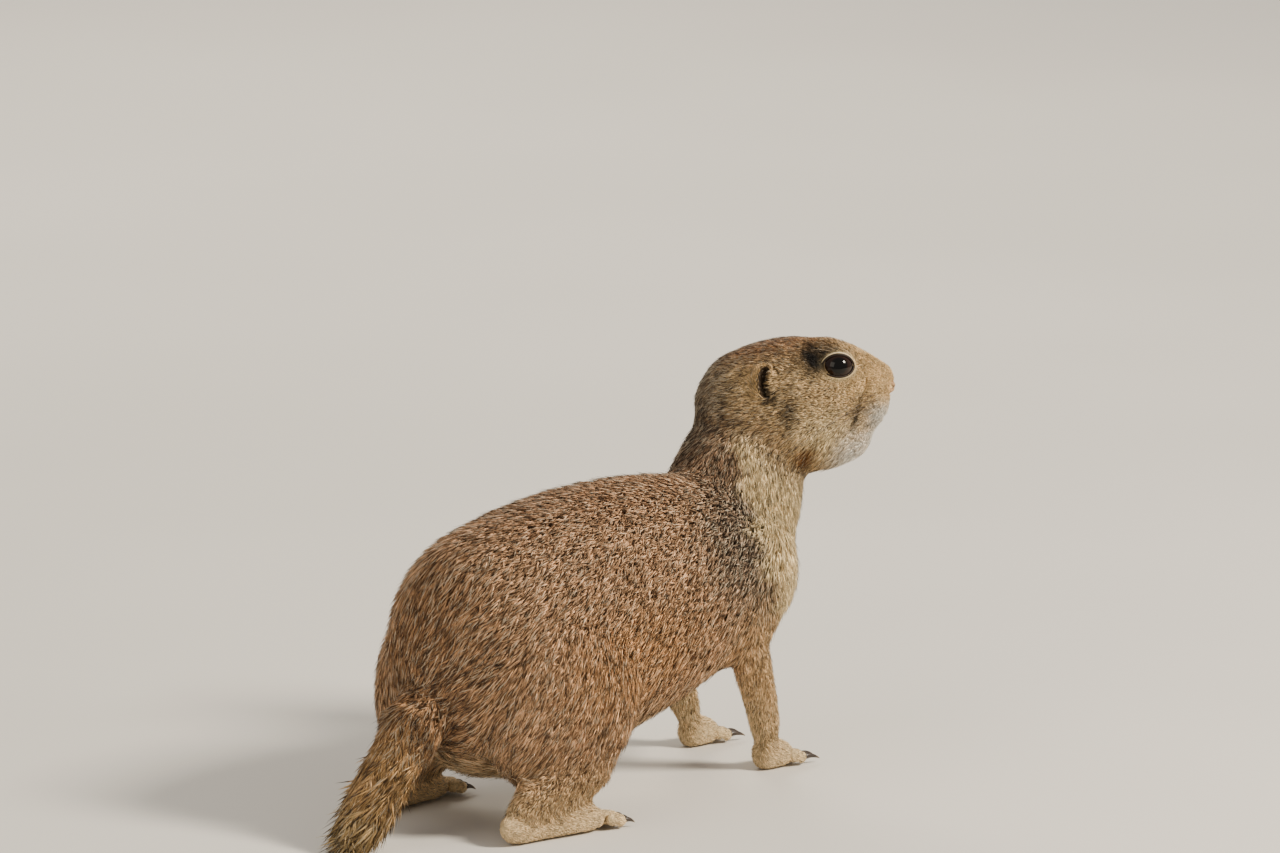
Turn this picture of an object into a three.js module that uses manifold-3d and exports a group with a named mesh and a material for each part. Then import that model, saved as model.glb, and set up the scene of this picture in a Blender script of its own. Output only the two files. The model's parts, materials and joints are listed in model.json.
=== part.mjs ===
// A prairie dog at life size, low and alert on four feet, with its head turned to its right.
// Millimetres. +X points from rump to chest, +Y to the animal's left, +Z up. The soles rest on z = 0.
import * as THREE from "three";
import { mergeVertices } from "three/addons/utils/BufferGeometryUtils.js";
import Module from "manifold-3d";

const wasm = await Module();
wasm.setup();

// Driving dimensions
const GAP = 0.3; // clearance between neighbouring parts
const HEAD_TURN = -48; // degrees about the neck, towards the animal's right
const HEAD_ROLL = -8; // degrees about the muzzle, which lifts the right side of the head
const HEAD_UP = 132; // height of the head's own origin, on the neck's axis
const WAIST = -88; // where the torso parts into its front and rear halves
const EYE = { along: 32.2, out: 10.2, up: 15, radius: 6.2 };
const EAR = { along: 4.6, out: 18.4, up: 9.6, length: 4.4, depth: 4.6, height: 7.6 };
const EAR_WALL = 1; // thickness of the ear's cup at its rear edge
const ORBIT = { radius: 7.3, inset: 1.5 };
const LID = { halfLength: 5.3, halfHeight: 4.5, thickness: 1.1 };
const NOSE = { along: 50.6, up: 8, length: 3.5, width: 4.6, height: 3.6 };
const NOSTRIL = 0.75; // radius
const MOUTH = 0.95; // radius of the groove between the lips
const FOREFOOT = { heel: -21, palm: 17, out: 22.5, width: 6.4, height: 6, toes: 4, toe: 9, claw: 9 };
const HINDFOOT = { heel: -175, palm: 50, out: 36, width: 8, height: 6.6, toes: 5, toe: 10, claw: 6.5 };
const TOES = { spread: 1.6, fan: 0.35, sink: 4.5, stagger: 3, clawSink: 0.5 }; // of either foot
const TAIL_LOCKS = { rows: 4, around: 6, length: 17, halfWidth: 4, halfThickness: 0.9, splay: 3.4 };
const LEFT_STEP = 9; // the left forefoot stands this far ahead of the right one

const COAT = { color: 0xb08d62, roughness: 0.95, metalness: 0 };
const EYE_GLOSS = { color: 0x17100b, roughness: 0.08, metalness: 0 };
const BARE_SKIN = { color: 0x4a3629, roughness: 0.55, metalness: 0 };
const PAW = { color: 0xc0a27a, roughness: 0.9, metalness: 0 };

const Z_AXIS = new THREE.Vector3(0, 0, 1);
const X_AXIS = new THREE.Vector3(1, 0, 0);
const SIDES = { right: -1, left: 1 };

// Rounds a coordinate of the unit circle towards a square: 2 keeps the circle, more is boxier.
function squared(value, power) {
  return Math.sign(value) * Math.abs(value) ** (2 / power);
}

// Rises from 0 at either end of a loft to 1, as a quarter ellipse, over the given shares of its length.
function endRounding(t, startShare, endShare) {
  const fromEnd = Math.min(t / startShare, (1 - t) / endShare, 1);
  return Math.sqrt(Math.max(0, 1 - (1 - fromEnd) ** 2));
}

// A closed form through stations [x, y, z, half width, half height]. The width runs across both the path
// and the up direction. Swells [x, y, z, reach, rise] push the surface out, or in where rise is negative.
function loft(stations, { sides = 16, rings = 14, power = 2, round = [0.2, 0.2], up = Z_AXIS, swells = [] }) {
  const path = new THREE.CatmullRomCurve3(stations.map(([x, y, z]) => new THREE.Vector3(x, y, z)));
  const size = new THREE.CatmullRomCurve3(stations.map(([, , , w, h]) => new THREE.Vector3(w, h, 0)));
  const geometry = new THREE.SphereGeometry(1, sides, rings);
  const position = geometry.attributes.position;
  const point = new THREE.Vector3();
  for (let i = 0; i < position.count; i += 1) {
    point.fromBufferAttribute(position, i);
    const t = THREE.MathUtils.clamp((1 - point.y) / 2, 0, 1);
    const ring = Math.max(Math.hypot(point.x, point.z), 1e-9);
    const rounding = endRounding(t, ...round);
    const across = squared(point.x / ring, power) * rounding;
    const upward = squared(point.z / ring, power) * rounding;
    const tangent = path.getTangent(t);
    const side = new THREE.Vector3().crossVectors(up, tangent).normalize();
    const lift = new THREE.Vector3().crossVectors(tangent, side);
    const half = size.getPoint(t);
    const outward = side.multiplyScalar(across * half.x).addScaledVector(lift, upward * half.y);
    point.copy(path.getPoint(t)).add(outward);
    const direction = outward.clone().normalize();
    for (const [x, y, z, reach, rise] of swells) {
      const distance = point.distanceTo(new THREE.Vector3(x, y, z)) / reach;
      point.addScaledVector(direction, rise * Math.exp(-distance * distance));
    }
    position.setXYZ(i, point.x, point.y, point.z);
  }
  return closed(geometry);
}

// The same geometry with only its positions, its shared points merged.
function closed(geometry) {
  const bare = geometry.clone();
  bare.deleteAttribute("normal");
  bare.deleteAttribute("uv");
  return mergeVertices(bare, 1e-4);
}

// An ellipsoid of three half sizes at a centre.
function ellipsoid(centre, halfSizes, sides = 16, rings = 12) {
  return closed(new THREE.SphereGeometry(1, sides, rings)).scale(...halfSizes).translate(...centre);
}

// A copy pushed out along its own normals, for cutting a neighbour with clearance.
function grown(geometry, by = GAP) {
  const copy = geometry.clone();
  copy.computeVertexNormals();
  const { position, normal } = copy.attributes;
  for (let i = 0; i < position.count; i += 1) {
    position.setXYZ(
      i,
      position.getX(i) + normal.getX(i) * by,
      position.getY(i) + normal.getY(i) * by,
      position.getZ(i) + normal.getZ(i) * by,
    );
  }
  copy.deleteAttribute("normal");
  return copy;
}

function solid(geometry) {
  return new wasm.Manifold(
    new wasm.Mesh({
      numProp: 3,
      vertProperties: new Float32Array(geometry.attributes.position.array),
      triVerts: new Uint32Array(geometry.index.array),
    }),
  );
}

function cut(body, ...cutters) {
  return cutters.reduce((rest, cutter) => rest.subtract(solid(cutter)), body);
}

function block(low, high) {
  const size = high.map((value, axis) => value - low[axis]);
  const centre = high.map((value, axis) => (value + low[axis]) / 2);
  return closed(new THREE.BoxGeometry(...size)).translate(...centre);
}

const FAR = 400;
const BELOW_FLOOR = block([-FAR, -FAR, -FAR], [FAR, FAR, 0]);

// The largest closed surface of a solid, as a named mesh.
function part(name, body, finish) {
  const pieces = body.decompose().sort((a, b) => b.volume() - a.volume());
  const { vertProperties, triVerts } = pieces[0].getMesh();
  const geometry = new THREE.BufferGeometry();
  geometry.setAttribute("position", new THREE.BufferAttribute(vertProperties, 3));
  geometry.setIndex(new THREE.BufferAttribute(triVerts, 1));
  const mesh = new THREE.Mesh(geometry, new THREE.MeshStandardMaterial(finish));
  mesh.name = name;
  return mesh;
}

// Joins closed forms into one solid.
function joined(...forms) {
  return forms.map(solid).reduce((whole, form) => whole.add(form));
}

// Repeats a swell on both sides of the midline.
function pair([x, y, z, reach, rise]) {
  return [
    [x, y, z, reach, rise],
    [x, -y, z, reach, rise],
  ];
}

// Head: in its own frame, with +X along the muzzle and the neck's axis at the origin
const headStations = [
  [-21, 0, 1, 12, 12],
  [-13, 0, 0.5, 17.5, 18],
  [-4, 0, -0.2, 20.5, 22.3],
  [6, 0, -0.2, 21.5, 24.8],
  [16, 0, 0.3, 21, 25.8],
  [25, 0, 0.4, 19, 25],
  [33, 0, 2, 16.4, 23.3],
  [40, 0, 4.4, 12.9, 17.8],
  [46, 0, 5.6, 10.4, 13],
  [52.2, 0, 6, 7.9, 8.8],
];
const headSwells = [
  ...pair([31, 12, 20, 6, 1.1]), // brow
  ...pair([32, 13, 13, 8, 1.6]), // fullness round the eye
  ...pair([41, 10, 15, 5, -0.7]), // hollow before the eye
  ...pair([20, 19, -8, 12, 2.4]), // cheek
  ...pair([12, 17, -19, 9, 1.8]), // jowl
  ...pair([46.5, 9, 0.5, 5, 1.4]), // whisker pad
  ...pair([40.5, 11.5, -2, 3.6, -1.5]), // crease behind the pad
  ...pair([19, 17, 16, 7, -0.8]), // temple
  ...pair([9, 19, 8, 5, -0.8]), // hollow before the ear
];
const headForm = loft(headStations, {
  sides: 26,
  rings: 24,
  power: 2.2,
  round: [0.14, 0.06],
  swells: headSwells,
});
// The forehead and the bridge of the muzzle, down to the nose
const bridgeForm = loft(
  [
    [16, 0, 12, 12, 14.2],
    [24, 0, 12.2, 12, 14.2],
    [31, 0, 11.6, 10.6, 13.6],
    [38, 0, 10.2, 9, 12],
    [45, 0, 9, 7.8, 9.6],
    [50, 0, 8.4, 6.8, 7.2],
    [53.4, 0, 8, 5.2, 5],
  ],
  { sides: 20, rings: 13, round: [0.2, 0.1] },
);
const throatForm = loft(
  [
    [28, 0, -13, 7, 7.5],
    [33.5, 0, -14, 7.4, 8.2],
    [38, 0, -14, 6.6, 6.8],
    [41.2, 0, -12.8, 4.4, 4.6],
  ],
  { sides: 12, rings: 9, round: [0.25, 0.3] },
);
const lipForm = loft(
  [
    [37, 0, -8, 7, 3.6],
    [42, 0, -8.7, 5.4, 3],
    [46.6, 0, -7.7, 3.2, 1.8],
  ],
  { sides: 10, rings: 8, round: [0.25, 0.25] },
);
const noseForm = ellipsoid([NOSE.along, 0, NOSE.up], [NOSE.length, NOSE.width, NOSE.height], 12, 8);

// The groove of the closed mouth, from one corner round the front of the muzzle to the other.
const rightLip = [
  [37.6, -11.8, -8.4],
  [42, -9.9, -7.4],
  [46, -7, -6],
  [49.2, -3.8, -4.6],
];
const leftLip = rightLip.map(([x, y, z]) => [x, -y, z]).reverse();
const mouthForm = loft(
  [...rightLip, [50.6, 0, -4], ...leftLip].map((point) => [...point, MOUTH, MOUTH]),
  { sides: 6, rings: 18, round: [0.15, 0.15] },
);

// A comma-shaped nostril, open at the front and curling back along the side of the nose.
function nostrilForm(side) {
  const path = [
    [54.6, side * 1.5, NOSE.up - 0.9],
    [52.8, side * 2.7, NOSE.up - 0.5],
    [51, side * 4.2, NOSE.up + 0.6],
  ];
  return loft(
    path.map((point) => [...point, NOSTRIL, NOSTRIL]),
    { sides: 6, rings: 6, round: [0.3, 0.3] },
  );
}

function eyeForm(side) {
  return ellipsoid([EYE.along, side * EYE.out, EYE.up], [EYE.radius, EYE.radius, EYE.radius], 14, 9);
}

function eyeOutward(side) {
  return new THREE.Vector3(0.14, side, 0.16).normalize();
}

// The flesh round one eyeball: a slightly larger ball set deeper, so the eye shows only within its lids.
function orbitForm(side) {
  const { x, y, z } = eyeOutward(side).multiplyScalar(-ORBIT.inset);
  const size = [ORBIT.radius, ORBIT.radius, ORBIT.radius];
  return ellipsoid([EYE.along + x, side * EYE.out + y, EYE.up + z], size, 16, 12);
}

// Both lids of one eye: a flattened ring that lies on the eyeball and faces a little forwards and up.
function lidForm(side) {
  const { halfLength, halfHeight, thickness } = LID;
  const ring = closed(new THREE.TorusGeometry(halfLength, thickness, 6, 18));
  ring.scale(1, halfHeight / halfLength, 1);
  const { position } = ring.attributes;
  for (let i = 0; i < position.count; i += 1) {
    const turn = Math.atan2(position.getY(i) / halfHeight, position.getX(i) / halfLength);
    const reach = Math.hypot(halfLength * Math.cos(turn), halfHeight * Math.sin(turn));
    position.setZ(i, position.getZ(i) + Math.sqrt(EYE.radius ** 2 - reach ** 2));
  }
  const outward = eyeOutward(side);
  const along = new THREE.Vector3().crossVectors(Z_AXIS, outward).normalize();
  const upward = new THREE.Vector3().crossVectors(outward, along);
  const place = new THREE.Matrix4().makeBasis(along, upward, outward);
  place.setPosition(EYE.along, side * EYE.out, EYE.up);
  return ring.applyMatrix4(place);
}

function earForm(side) {
  return ellipsoid([EAR.along, side * EAR.out, EAR.up], [EAR.length, EAR.depth, EAR.height], 14, 10);
}

// The hollow of the ear: opens outwards and forwards, so the rim stands highest behind.
function earHollow(side) {
  const shift = 1.5; // forwards, and twice as far outwards
  const centre = [EAR.along + shift, side * (EAR.out + 2 * shift), EAR.up + 0.3];
  const half = [EAR.length - EAR_WALL + 0.2, EAR.depth, EAR.height - 1.6 * EAR_WALL];
  return ellipsoid(centre, half, 12, 8);
}

const headGroup = new THREE.Group();
headGroup.position.z = HEAD_UP;
headGroup.rotation.set(THREE.MathUtils.degToRad(HEAD_ROLL), 0, THREE.MathUtils.degToRad(HEAD_TURN), "ZYX");
headGroup.updateMatrix();

const bothSides = Object.values(SIDES);
const nostrils = bothSides.map(nostrilForm);
const headCuts = [
  mouthForm,
  ...nostrils,
  ...[noseForm, ...bothSides.map(eyeForm), ...bothSides.map(earForm)].map((form) => grown(form)),
];
const headForms = [headForm, bridgeForm, throatForm, lipForm];
const headSolid = joined(...headForms, ...bothSides.map(orbitForm), ...bothSides.map(lidForm));
headGroup.add(part("head", cut(headSolid, ...headCuts), COAT));
headGroup.add(part("nose", cut(solid(noseForm), ...nostrils), BARE_SKIN));
for (const [name, side] of Object.entries(SIDES)) {
  headGroup.add(part(`eye_${name}`, solid(eyeForm(side)), EYE_GLOSS));
  headGroup.add(part(`ear_${name}`, cut(solid(earForm(side)), earHollow(side)), COAT));
}

// Neck: an upright column from the shoulders into the back of the head
const neckForm = loft(
  [
    [-20, 0, 80, 26, 26],
    [-13, 0, 92, 25.5, 28.5],
    [-7, 0, 104, 24.3, 27],
    [-2, 0, 116, 22.2, 23.5],
    [0, 0, 128, 19.5, 20],
    [0, 0, 140, 14, 14],
  ],
  { sides: 18, rings: 10, round: [0.15, 0.2], up: X_AXIS },
);
const headInPlace = grown(headForm).applyMatrix4(headGroup.matrix);

// Torso: from the rump to the front of the chest
const torsoForm = loft(
  [
    [-184, 0, 60, 15, 20],
    [-172, 0, 60, 28, 34],
    [-155, 0, 61, 36.5, 45.5],
    [-136, 0, 63, 40.5, 48],
    [-115, 0, 65.5, 41.5, 49],
    [-93, 0, 68.5, 40.5, 48.3],
    [-70, 0, 71, 38, 45.8],
    [-48, 0, 73, 35.5, 41.5],
    [-26, 0, 74.5, 33, 36.5],
    [-6, 0, 76.5, 29.5, 30],
    [13, 0, 80, 21.5, 20.5],
  ],
  { sides: 24, rings: 22, power: 2.1, round: [0.16, 0.12] },
);

// Toes and claws of one foot, fanned across the front of its sole: the middle ones reach furthest
function toes(foot, [front, centre], side) {
  const forms = [];
  for (let i = 0; i < foot.toes; i += 1) {
    const place = i / (foot.toes - 1) - 0.5; // -0.5 innermost, 0.5 outermost
    const middle = 1 - Math.abs(place) * 0.5;
    const start = front - TOES.sink - TOES.stagger * (1 - middle);
    const reach = foot.toe * middle;
    const root = reach - TOES.clawSink;
    const claw = foot.claw * (0.8 + 0.2 * middle);
    const at = (forward, z, w, h) => {
      const across = place * (TOES.spread * foot.width + TOES.fan * forward);
      return [start + forward, centre + side * across, z, w, h];
    };
    const toe = [
      at(0, 3.4, 1.9, 2.5),
      at(reach * 0.55, 3.9, 2.1, 2.6),
      at(reach, 2.5, 1.9, 2.4),
      at(reach + 2, 2, 1.2, 1.6),
    ];
    const nail = [at(root, 3, 1, 1.2), at(root + claw * 0.5, 3.2, 0.85, 1), at(root + claw, 1.2, 0.3, 0.4)];
    forms.push(loft(toe, { sides: 6, rings: 6, round: [0.2, 0.25] }));
    forms.push(loft(nail, { sides: 5, rings: 5, round: [0.2, 0.15] }));
  }
  return forms;
}

// Limbs: one side's forms, each tapering into the next
function forelimb(side) {
  const step = side > 0 ? LEFT_STEP : 0;
  const y = (out) => side * out;
  const upper = loft(
    [
      [-16, y(15), 94, 9, 14],
      [-19 + step * 0.2, y(20.5), 79, 11, 17],
      [-26 + step * 0.4, y(24), 62, 10, 14],
      [-31 + step * 0.5, y(25.5), 49, 7.6, 10],
    ],
    { sides: 12, rings: 9, up: X_AXIS, round: [0.25, 0.2] },
  );
  const fore = loft(
    [
      [-31 + step * 0.5, y(25.5), 56, 6.8, 9],
      [-26 + step * 0.6, y(25), 40, 6.8, 8],
      [-20 + step * 0.8, y(24), 24, 6.2, 6.8],
      [-16 + step, y(23), 9, 5.4, 5.6],
    ],
    { sides: 10, rings: 9, up: X_AXIS, round: [0.15, 0.15] },
  );
  const { heel, palm, out, width, height } = FOREFOOT;
  const sole = loft(
    [
      [heel + step, y(out), height, width * 0.8, height * 1.05],
      [heel + step + palm / 2, y(out), height * 0.9, width, height * 0.98],
      [heel + step + palm, y(out), height * 0.62, width * 0.95, height * 0.72],
    ],
    { sides: 10, rings: 7, round: [0.25, 0.3] },
  );
  const digits = toes(FOREFOOT, [heel + step + palm, y(out)], side);
  return { upper, fore, sole, digits };
}

function hindlimb(side) {
  const y = (out) => side * out;
  const thigh = loft(
    [
      [-166, y(24), 58, 12, 20],
      [-152, y(28), 52, 16, 33],
      [-135, y(31), 46.5, 16.5, 35],
      [-117, y(32.5), 40, 13.5, 27],
      [-104, y(33), 34, 9, 15],
    ],
    { sides: 16, rings: 12, round: [0.2, 0.2] },
  );
  const shank = loft(
    [
      [-118, y(35), 25, 8, 10],
      [-138, y(36), 19, 8, 10],
      [-158, y(36), 13.5, 6.5, 9],
      [-170, y(35.5), 9, 5, 6.5],
    ],
    { sides: 12, rings: 9, round: [0.15, 0.15] },
  );
  const { heel, palm, out, width, height } = HINDFOOT;
  const sole = loft(
    [
      [heel, y(out - 1), height, width * 0.68, height * 1.05],
      [heel + palm * 0.33, y(out), height * 0.95, width * 0.78, height],
      [heel + palm * 0.7, y(out + 2), height * 0.78, width * 0.98, height * 0.84],
      [heel + palm, y(out + 3.5), height * 0.58, width * 0.95, height * 0.66],
    ],
    { sides: 12, rings: 10, round: [0.12, 0.2] },
  );
  const digits = toes(HINDFOOT, [heel + palm, y(out + 3.5)], side);
  return { thigh, shank, sole, digits };
}

// Tail: down and back from the rump, its end laid on the floor. Flat locks of hair lie over a narrower core.
const tailCore = [
  [-176, 0, 46, 8, 9],
  [-189, 0, 36, 9, 8.5],
  [-201, 0, 22.5, 9, 6.8],
  [-210, 0, 12, 7.6, 4.8],
  [-216, 0, 6.5, 5, 3],
];
const coreForm = loft(tailCore, { sides: 14, rings: 12, round: [0.15, 0.2] });
const coreLine = new THREE.CatmullRomCurve3(tailCore.map(([x, y, z]) => new THREE.Vector3(x, y, z)));

// One lock, rooted inside the core at a share of its length and an angle round it.
function lockForm(share, turn, length) {
  const root = coreLine.getPoint(share);
  const tangent = coreLine.getTangent(share);
  const side = new THREE.Vector3().crossVectors(Z_AXIS, tangent).normalize();
  const lift = new THREE.Vector3().crossVectors(tangent, side);
  const outward = side.clone().multiplyScalar(Math.cos(turn)).addScaledVector(lift, Math.sin(turn));
  const coreWidth = THREE.MathUtils.lerp(10, 5, share);
  const radius = Math.hypot(coreWidth * Math.cos(turn), coreWidth * 0.7 * Math.sin(turn));
  const { halfWidth, halfThickness, splay } = TAIL_LOCKS;
  const spread = splay * Math.abs(Math.cos(turn)); // the brush is broad and flat
  const at = (forward, out, w, h) => {
    const point = root.clone().addScaledVector(tangent, forward).addScaledVector(outward, out);
    return [point.x, point.y, point.z, w, h];
  };
  return loft(
    [
      at(-1, radius * 0.55, halfWidth * 0.7, halfThickness),
      at(length * 0.4, radius * 0.97, halfWidth, halfThickness * 1.1),
      at(length * 0.75, radius + spread * 0.6, halfWidth * 0.7, halfThickness * 0.8),
      at(length, radius + spread, halfWidth * 0.15, halfThickness * 0.4),
    ],
    { sides: 5, rings: 4, round: [0.15, 0.12], up: outward },
  );
}

const tailLocks = [];
for (let row = 0; row < TAIL_LOCKS.rows; row += 1) {
  const share = 0.36 + (0.56 * row) / (TAIL_LOCKS.rows - 1);
  for (let i = 0; i < TAIL_LOCKS.around; i += 1) {
    const turn = (2 * Math.PI * (i + (row % 2) / 2)) / TAIL_LOCKS.around;
    const length = TAIL_LOCKS.length * (1 + 0.12 * Math.sin(2.4 * i + row));
    tailLocks.push(lockForm(share, turn, length));
  }
}

const bodyGroup = new THREE.Group();
const fore = Object.fromEntries(Object.entries(SIDES).map(([name, side]) => [name, forelimb(side)]));
const hind = Object.fromEntries(Object.entries(SIDES).map(([name, side]) => [name, hindlimb(side)]));
const torsoCuts = [
  grown(neckForm),
  grown(coreForm),
  ...Object.values(fore).map((limb) => grown(limb.upper)),
  ...Object.values(hind).map((limb) => grown(limb.thigh)),
  ...Object.values(hind).map((limb) => grown(limb.shank)),
];
const torso = cut(solid(torsoForm), ...torsoCuts);
const upperArms = Object.values(fore).map((limb) => grown(limb.upper));
const tail = joined(coreForm, ...tailLocks);

bodyGroup.add(part("neck", cut(solid(neckForm), headInPlace, ...upperArms), COAT));
bodyGroup.add(part("torso_front", cut(torso, block([-FAR, -FAR, -FAR], [WAIST + GAP / 2, FAR, FAR])), COAT));
bodyGroup.add(part("torso_rear", cut(torso, block([WAIST - GAP / 2, -FAR, -FAR], [FAR, FAR, FAR])), COAT));
bodyGroup.add(part("tail", cut(tail, BELOW_FLOOR), COAT));
for (const name of Object.keys(SIDES)) {
  const { upper, fore: lower, sole, digits } = fore[name];
  bodyGroup.add(part(`upper_arm_${name}`, solid(upper), COAT));
  bodyGroup.add(part(`forearm_${name}`, cut(solid(lower), grown(upper), grown(sole), grown(torsoForm)), COAT));
  bodyGroup.add(part(`forefoot_${name}`, cut(joined(sole, ...digits), BELOW_FLOOR), PAW));
  const { thigh, shank, sole: hindSole, digits: hindDigits } = hind[name];
  const foot = joined(hindSole, ...hindDigits);
  bodyGroup.add(part(`thigh_${name}`, cut(solid(thigh), grown(hindSole)), COAT));
  bodyGroup.add(part(`shank_${name}`, cut(solid(shank), grown(thigh), grown(hindSole)), COAT));
  bodyGroup.add(part(`hindfoot_${name}`, cut(foot, BELOW_FLOOR), PAW));
}

// The origin: on the floor, below the middle of the whole animal's box
bodyGroup.add(headGroup);
bodyGroup.updateMatrixWorld(true);
const middle = new THREE.Box3().setFromObject(bodyGroup, true).getCenter(new THREE.Vector3());
bodyGroup.position.set(-middle.x, -middle.y, 0);
const prairieDog = new THREE.Group();
prairieDog.name = "prairie_dog";
prairieDog.add(bodyGroup);

export default prairieDog;
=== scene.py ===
import json
import math
from collections import namedtuple

import bmesh
import bpy
import numpy as np
from bpy.props import FloatProperty, FloatVectorProperty, IntProperty, PointerProperty
from mathutils import Matrix, Vector
from mathutils.bvhtree import BVHTree

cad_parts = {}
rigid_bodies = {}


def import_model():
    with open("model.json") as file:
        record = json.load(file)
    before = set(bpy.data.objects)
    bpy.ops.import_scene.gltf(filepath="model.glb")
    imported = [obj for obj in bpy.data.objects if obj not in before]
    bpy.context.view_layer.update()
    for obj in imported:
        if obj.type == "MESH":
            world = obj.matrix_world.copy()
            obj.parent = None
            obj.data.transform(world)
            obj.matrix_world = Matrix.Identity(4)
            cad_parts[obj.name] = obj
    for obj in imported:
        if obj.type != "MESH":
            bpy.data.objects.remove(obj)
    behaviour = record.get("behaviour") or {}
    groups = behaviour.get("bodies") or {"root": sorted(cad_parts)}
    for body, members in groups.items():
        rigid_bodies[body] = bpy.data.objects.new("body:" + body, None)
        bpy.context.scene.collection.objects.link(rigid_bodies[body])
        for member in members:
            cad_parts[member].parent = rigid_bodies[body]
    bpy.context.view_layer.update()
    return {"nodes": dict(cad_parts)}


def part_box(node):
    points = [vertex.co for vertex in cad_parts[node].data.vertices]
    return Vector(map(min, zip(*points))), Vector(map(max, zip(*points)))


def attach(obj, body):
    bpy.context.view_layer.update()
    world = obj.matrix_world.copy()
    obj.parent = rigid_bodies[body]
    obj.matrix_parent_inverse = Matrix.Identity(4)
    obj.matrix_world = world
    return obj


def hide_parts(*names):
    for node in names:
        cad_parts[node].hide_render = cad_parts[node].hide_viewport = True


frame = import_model()

bl_info = {
    "name": "Prairie dog dress",
    "version": (1, 0, 0),
    "blender": (4, 5, 0),
    "location": "View3D > Sidebar > Prairie dog",
    "description": "Skin, coat, eyes and claws of a life-size prairie dog round its solid model",
    "category": "Object",
}

MM = 0.001
SIDES = {"left": 1, "right": -1}
PAIRED = ("upper_arm", "forearm", "forefoot", "thigh", "shank", "hindfoot", "ear")
FLESH = ["head", "neck", "torso_front", "torso_rear", "tail"]
FLESH += [f"{part}_{side}" for part in PAIRED for side in SIDES]
REMADE = ("tail", "forefoot", "hindfoot", "ear")  # formed anew here, without claws, locks or hollow
HEAD_NODES = ("nose", "eye_left", "eye_right")  # copied too, so that the skin closes behind them

# Places on the head, in its own frame
HEAD_TURN = math.radians(-48)
HEAD_ROLL = math.radians(-8)
EYE_MM = np.array((32.2, 10.2, 15.0))
EYE_AXIS = (0.14, 1, 0.16)
EYE_RADIUS_MM = 6.2
CORNEA_BULGE = 0.045  # as a share of the eye's radius
LID_HALF_MM = (0.72, 0.4)  # half width and half thickness of the lower lid
EYE_OPENING_MM = (5.45, 4.0)  # half length and half height of the opening between the lids
EAR_MM = (4.6, 18.4, 9.6)
EAR_HALF_MM = (4.4, 4.6, 7.6)
EAR_HOLLOW_MM = (6.1, 21.4, 9.9)
EAR_HOLLOW_HALF_MM = (3.5, 4.6, 6.0)
NOSE_MM = (50.3, 0, 7.4)
NOSE_HALF_MM = (3.6, 4.3, 3.2)
NOSE_TOP_MM = 9  # hair grows over the pad above this
SNOUT_MM = ((49.4, 0, 9.8), (4.2, 5.4, 4.2))  # middle and half sizes of the round end of the muzzle
MOUTH_MM = ((42.5, 9.6, -6.8), (46, 7, -5.8), (49.2, 3.8, -4.6), (50.6, 0, -4))
PAD_MM = (46.5, 9.5, 1)  # middle of the whisker pad
WHISKER_RADIUS_MM = 0.13
WHISKER_DEPTH_MM = 0.4  # of its root in the skin
WHISKER_FRONT_MM = 48.6  # place along the head of the foremost whisker
WHISKER_DOT_MM = 0.447  # how far the dark spot round its root fades
LIP_GROOVE_MM = ((53, 0, 4.6), (51, 0, -3.5))  # from the nose to the mouth
PAD_CREASE_MM = ((43.9, 10.5, 10.5), (42, 11.5, 4.5), (40.2, 12, -1), (38.2, 12.4, -7))
NOSTRIL_MM = ((54.4, 1.3, 6.6), (52.8, 2.5, 6.9), (50.9, 4.2, 8.1))

# Places on the body, in its own frame
TAIL_CORE_MM = (
    (-158, 0, 59, 14, 15),
    (-174, 0, 48.5, 11.5, 12),
    (-189, 0, 36, 9, 8.8),
    (-201, 0, 22.5, 8.4, 6.4),
    (-210, 0, 12, 7, 4.4),
    (-216, 0, 6.5, 4.6, 2.8),
)
Foot = namedtuple("Foot", "heel palm out width height toes toe claw front_shift")
FOREFOOT = Foot(-21, 17, 22.5, 6.4, 6, 4, 9, 9, 0)
HINDFOOT = Foot(-175, 50, 36, 8, 6.6, 5, 10, 6.5, 3.5)
TAIL_HALF_WIDTH_MM = 9
LEFT_STEP_MM = 9  # how far the left forefoot stands ahead
NECK_AXIS_MM = -8  # the neck's axis along the body
CREAM_HALF_TURN = 84  # degrees of cream either side of the middle of the throat

# The skin's mesh
GROWTH = 0.5 * MM  # forms are grown by this to close the gaps between the solids, and shrunk again
VOXEL = 1.6 * MM
FACE_BACK_MM = 21  # the mesh is finer ahead of this
MOST_TRIANGLES = 199_000  # of one piece
SINK_SHARE = 0.36  # of the hair's length, by which the skin lies below the tips
# Depth of the skin where it doesn't follow the hair's length
SINK_FIXED_MM = {"tail": 0.0, "ear": 0.15, "forefoot": 0.4, "hindfoot": 0.4}
LID_LINE = 1.02  # the edge of the eye's opening, as a share of it
ORBIT_EDGE = 1.9  # where the skin has risen from the ball again, as a share of the opening
UNDER_BALL_MM = 1.4  # the skin lies this deep in the ball inside the lids
OVER_BALL_MM = 0.35  # and this far over it at the lids

# Hair lengths along the head and up the tail, and how far the tips of the tail's hair stand out.
# Each is a row of places and a row of values, in mm.
HEAD_HAIR_MM = ((-20, 0, 15, 25, 35, 44, 52), (6, 4.8, 4, 3.4, 2.6, 1.9, 1.3))
THROAT_HAIR_MM = 2.6  # more below the chin
TAIL_HAIR_MM = ((6, 20, 42), (15, 14, 8))
TAIL_RISE_MM = ((10, 42), (3.6, 1.2))
LEAST_RISE_MM = 0.35

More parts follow.
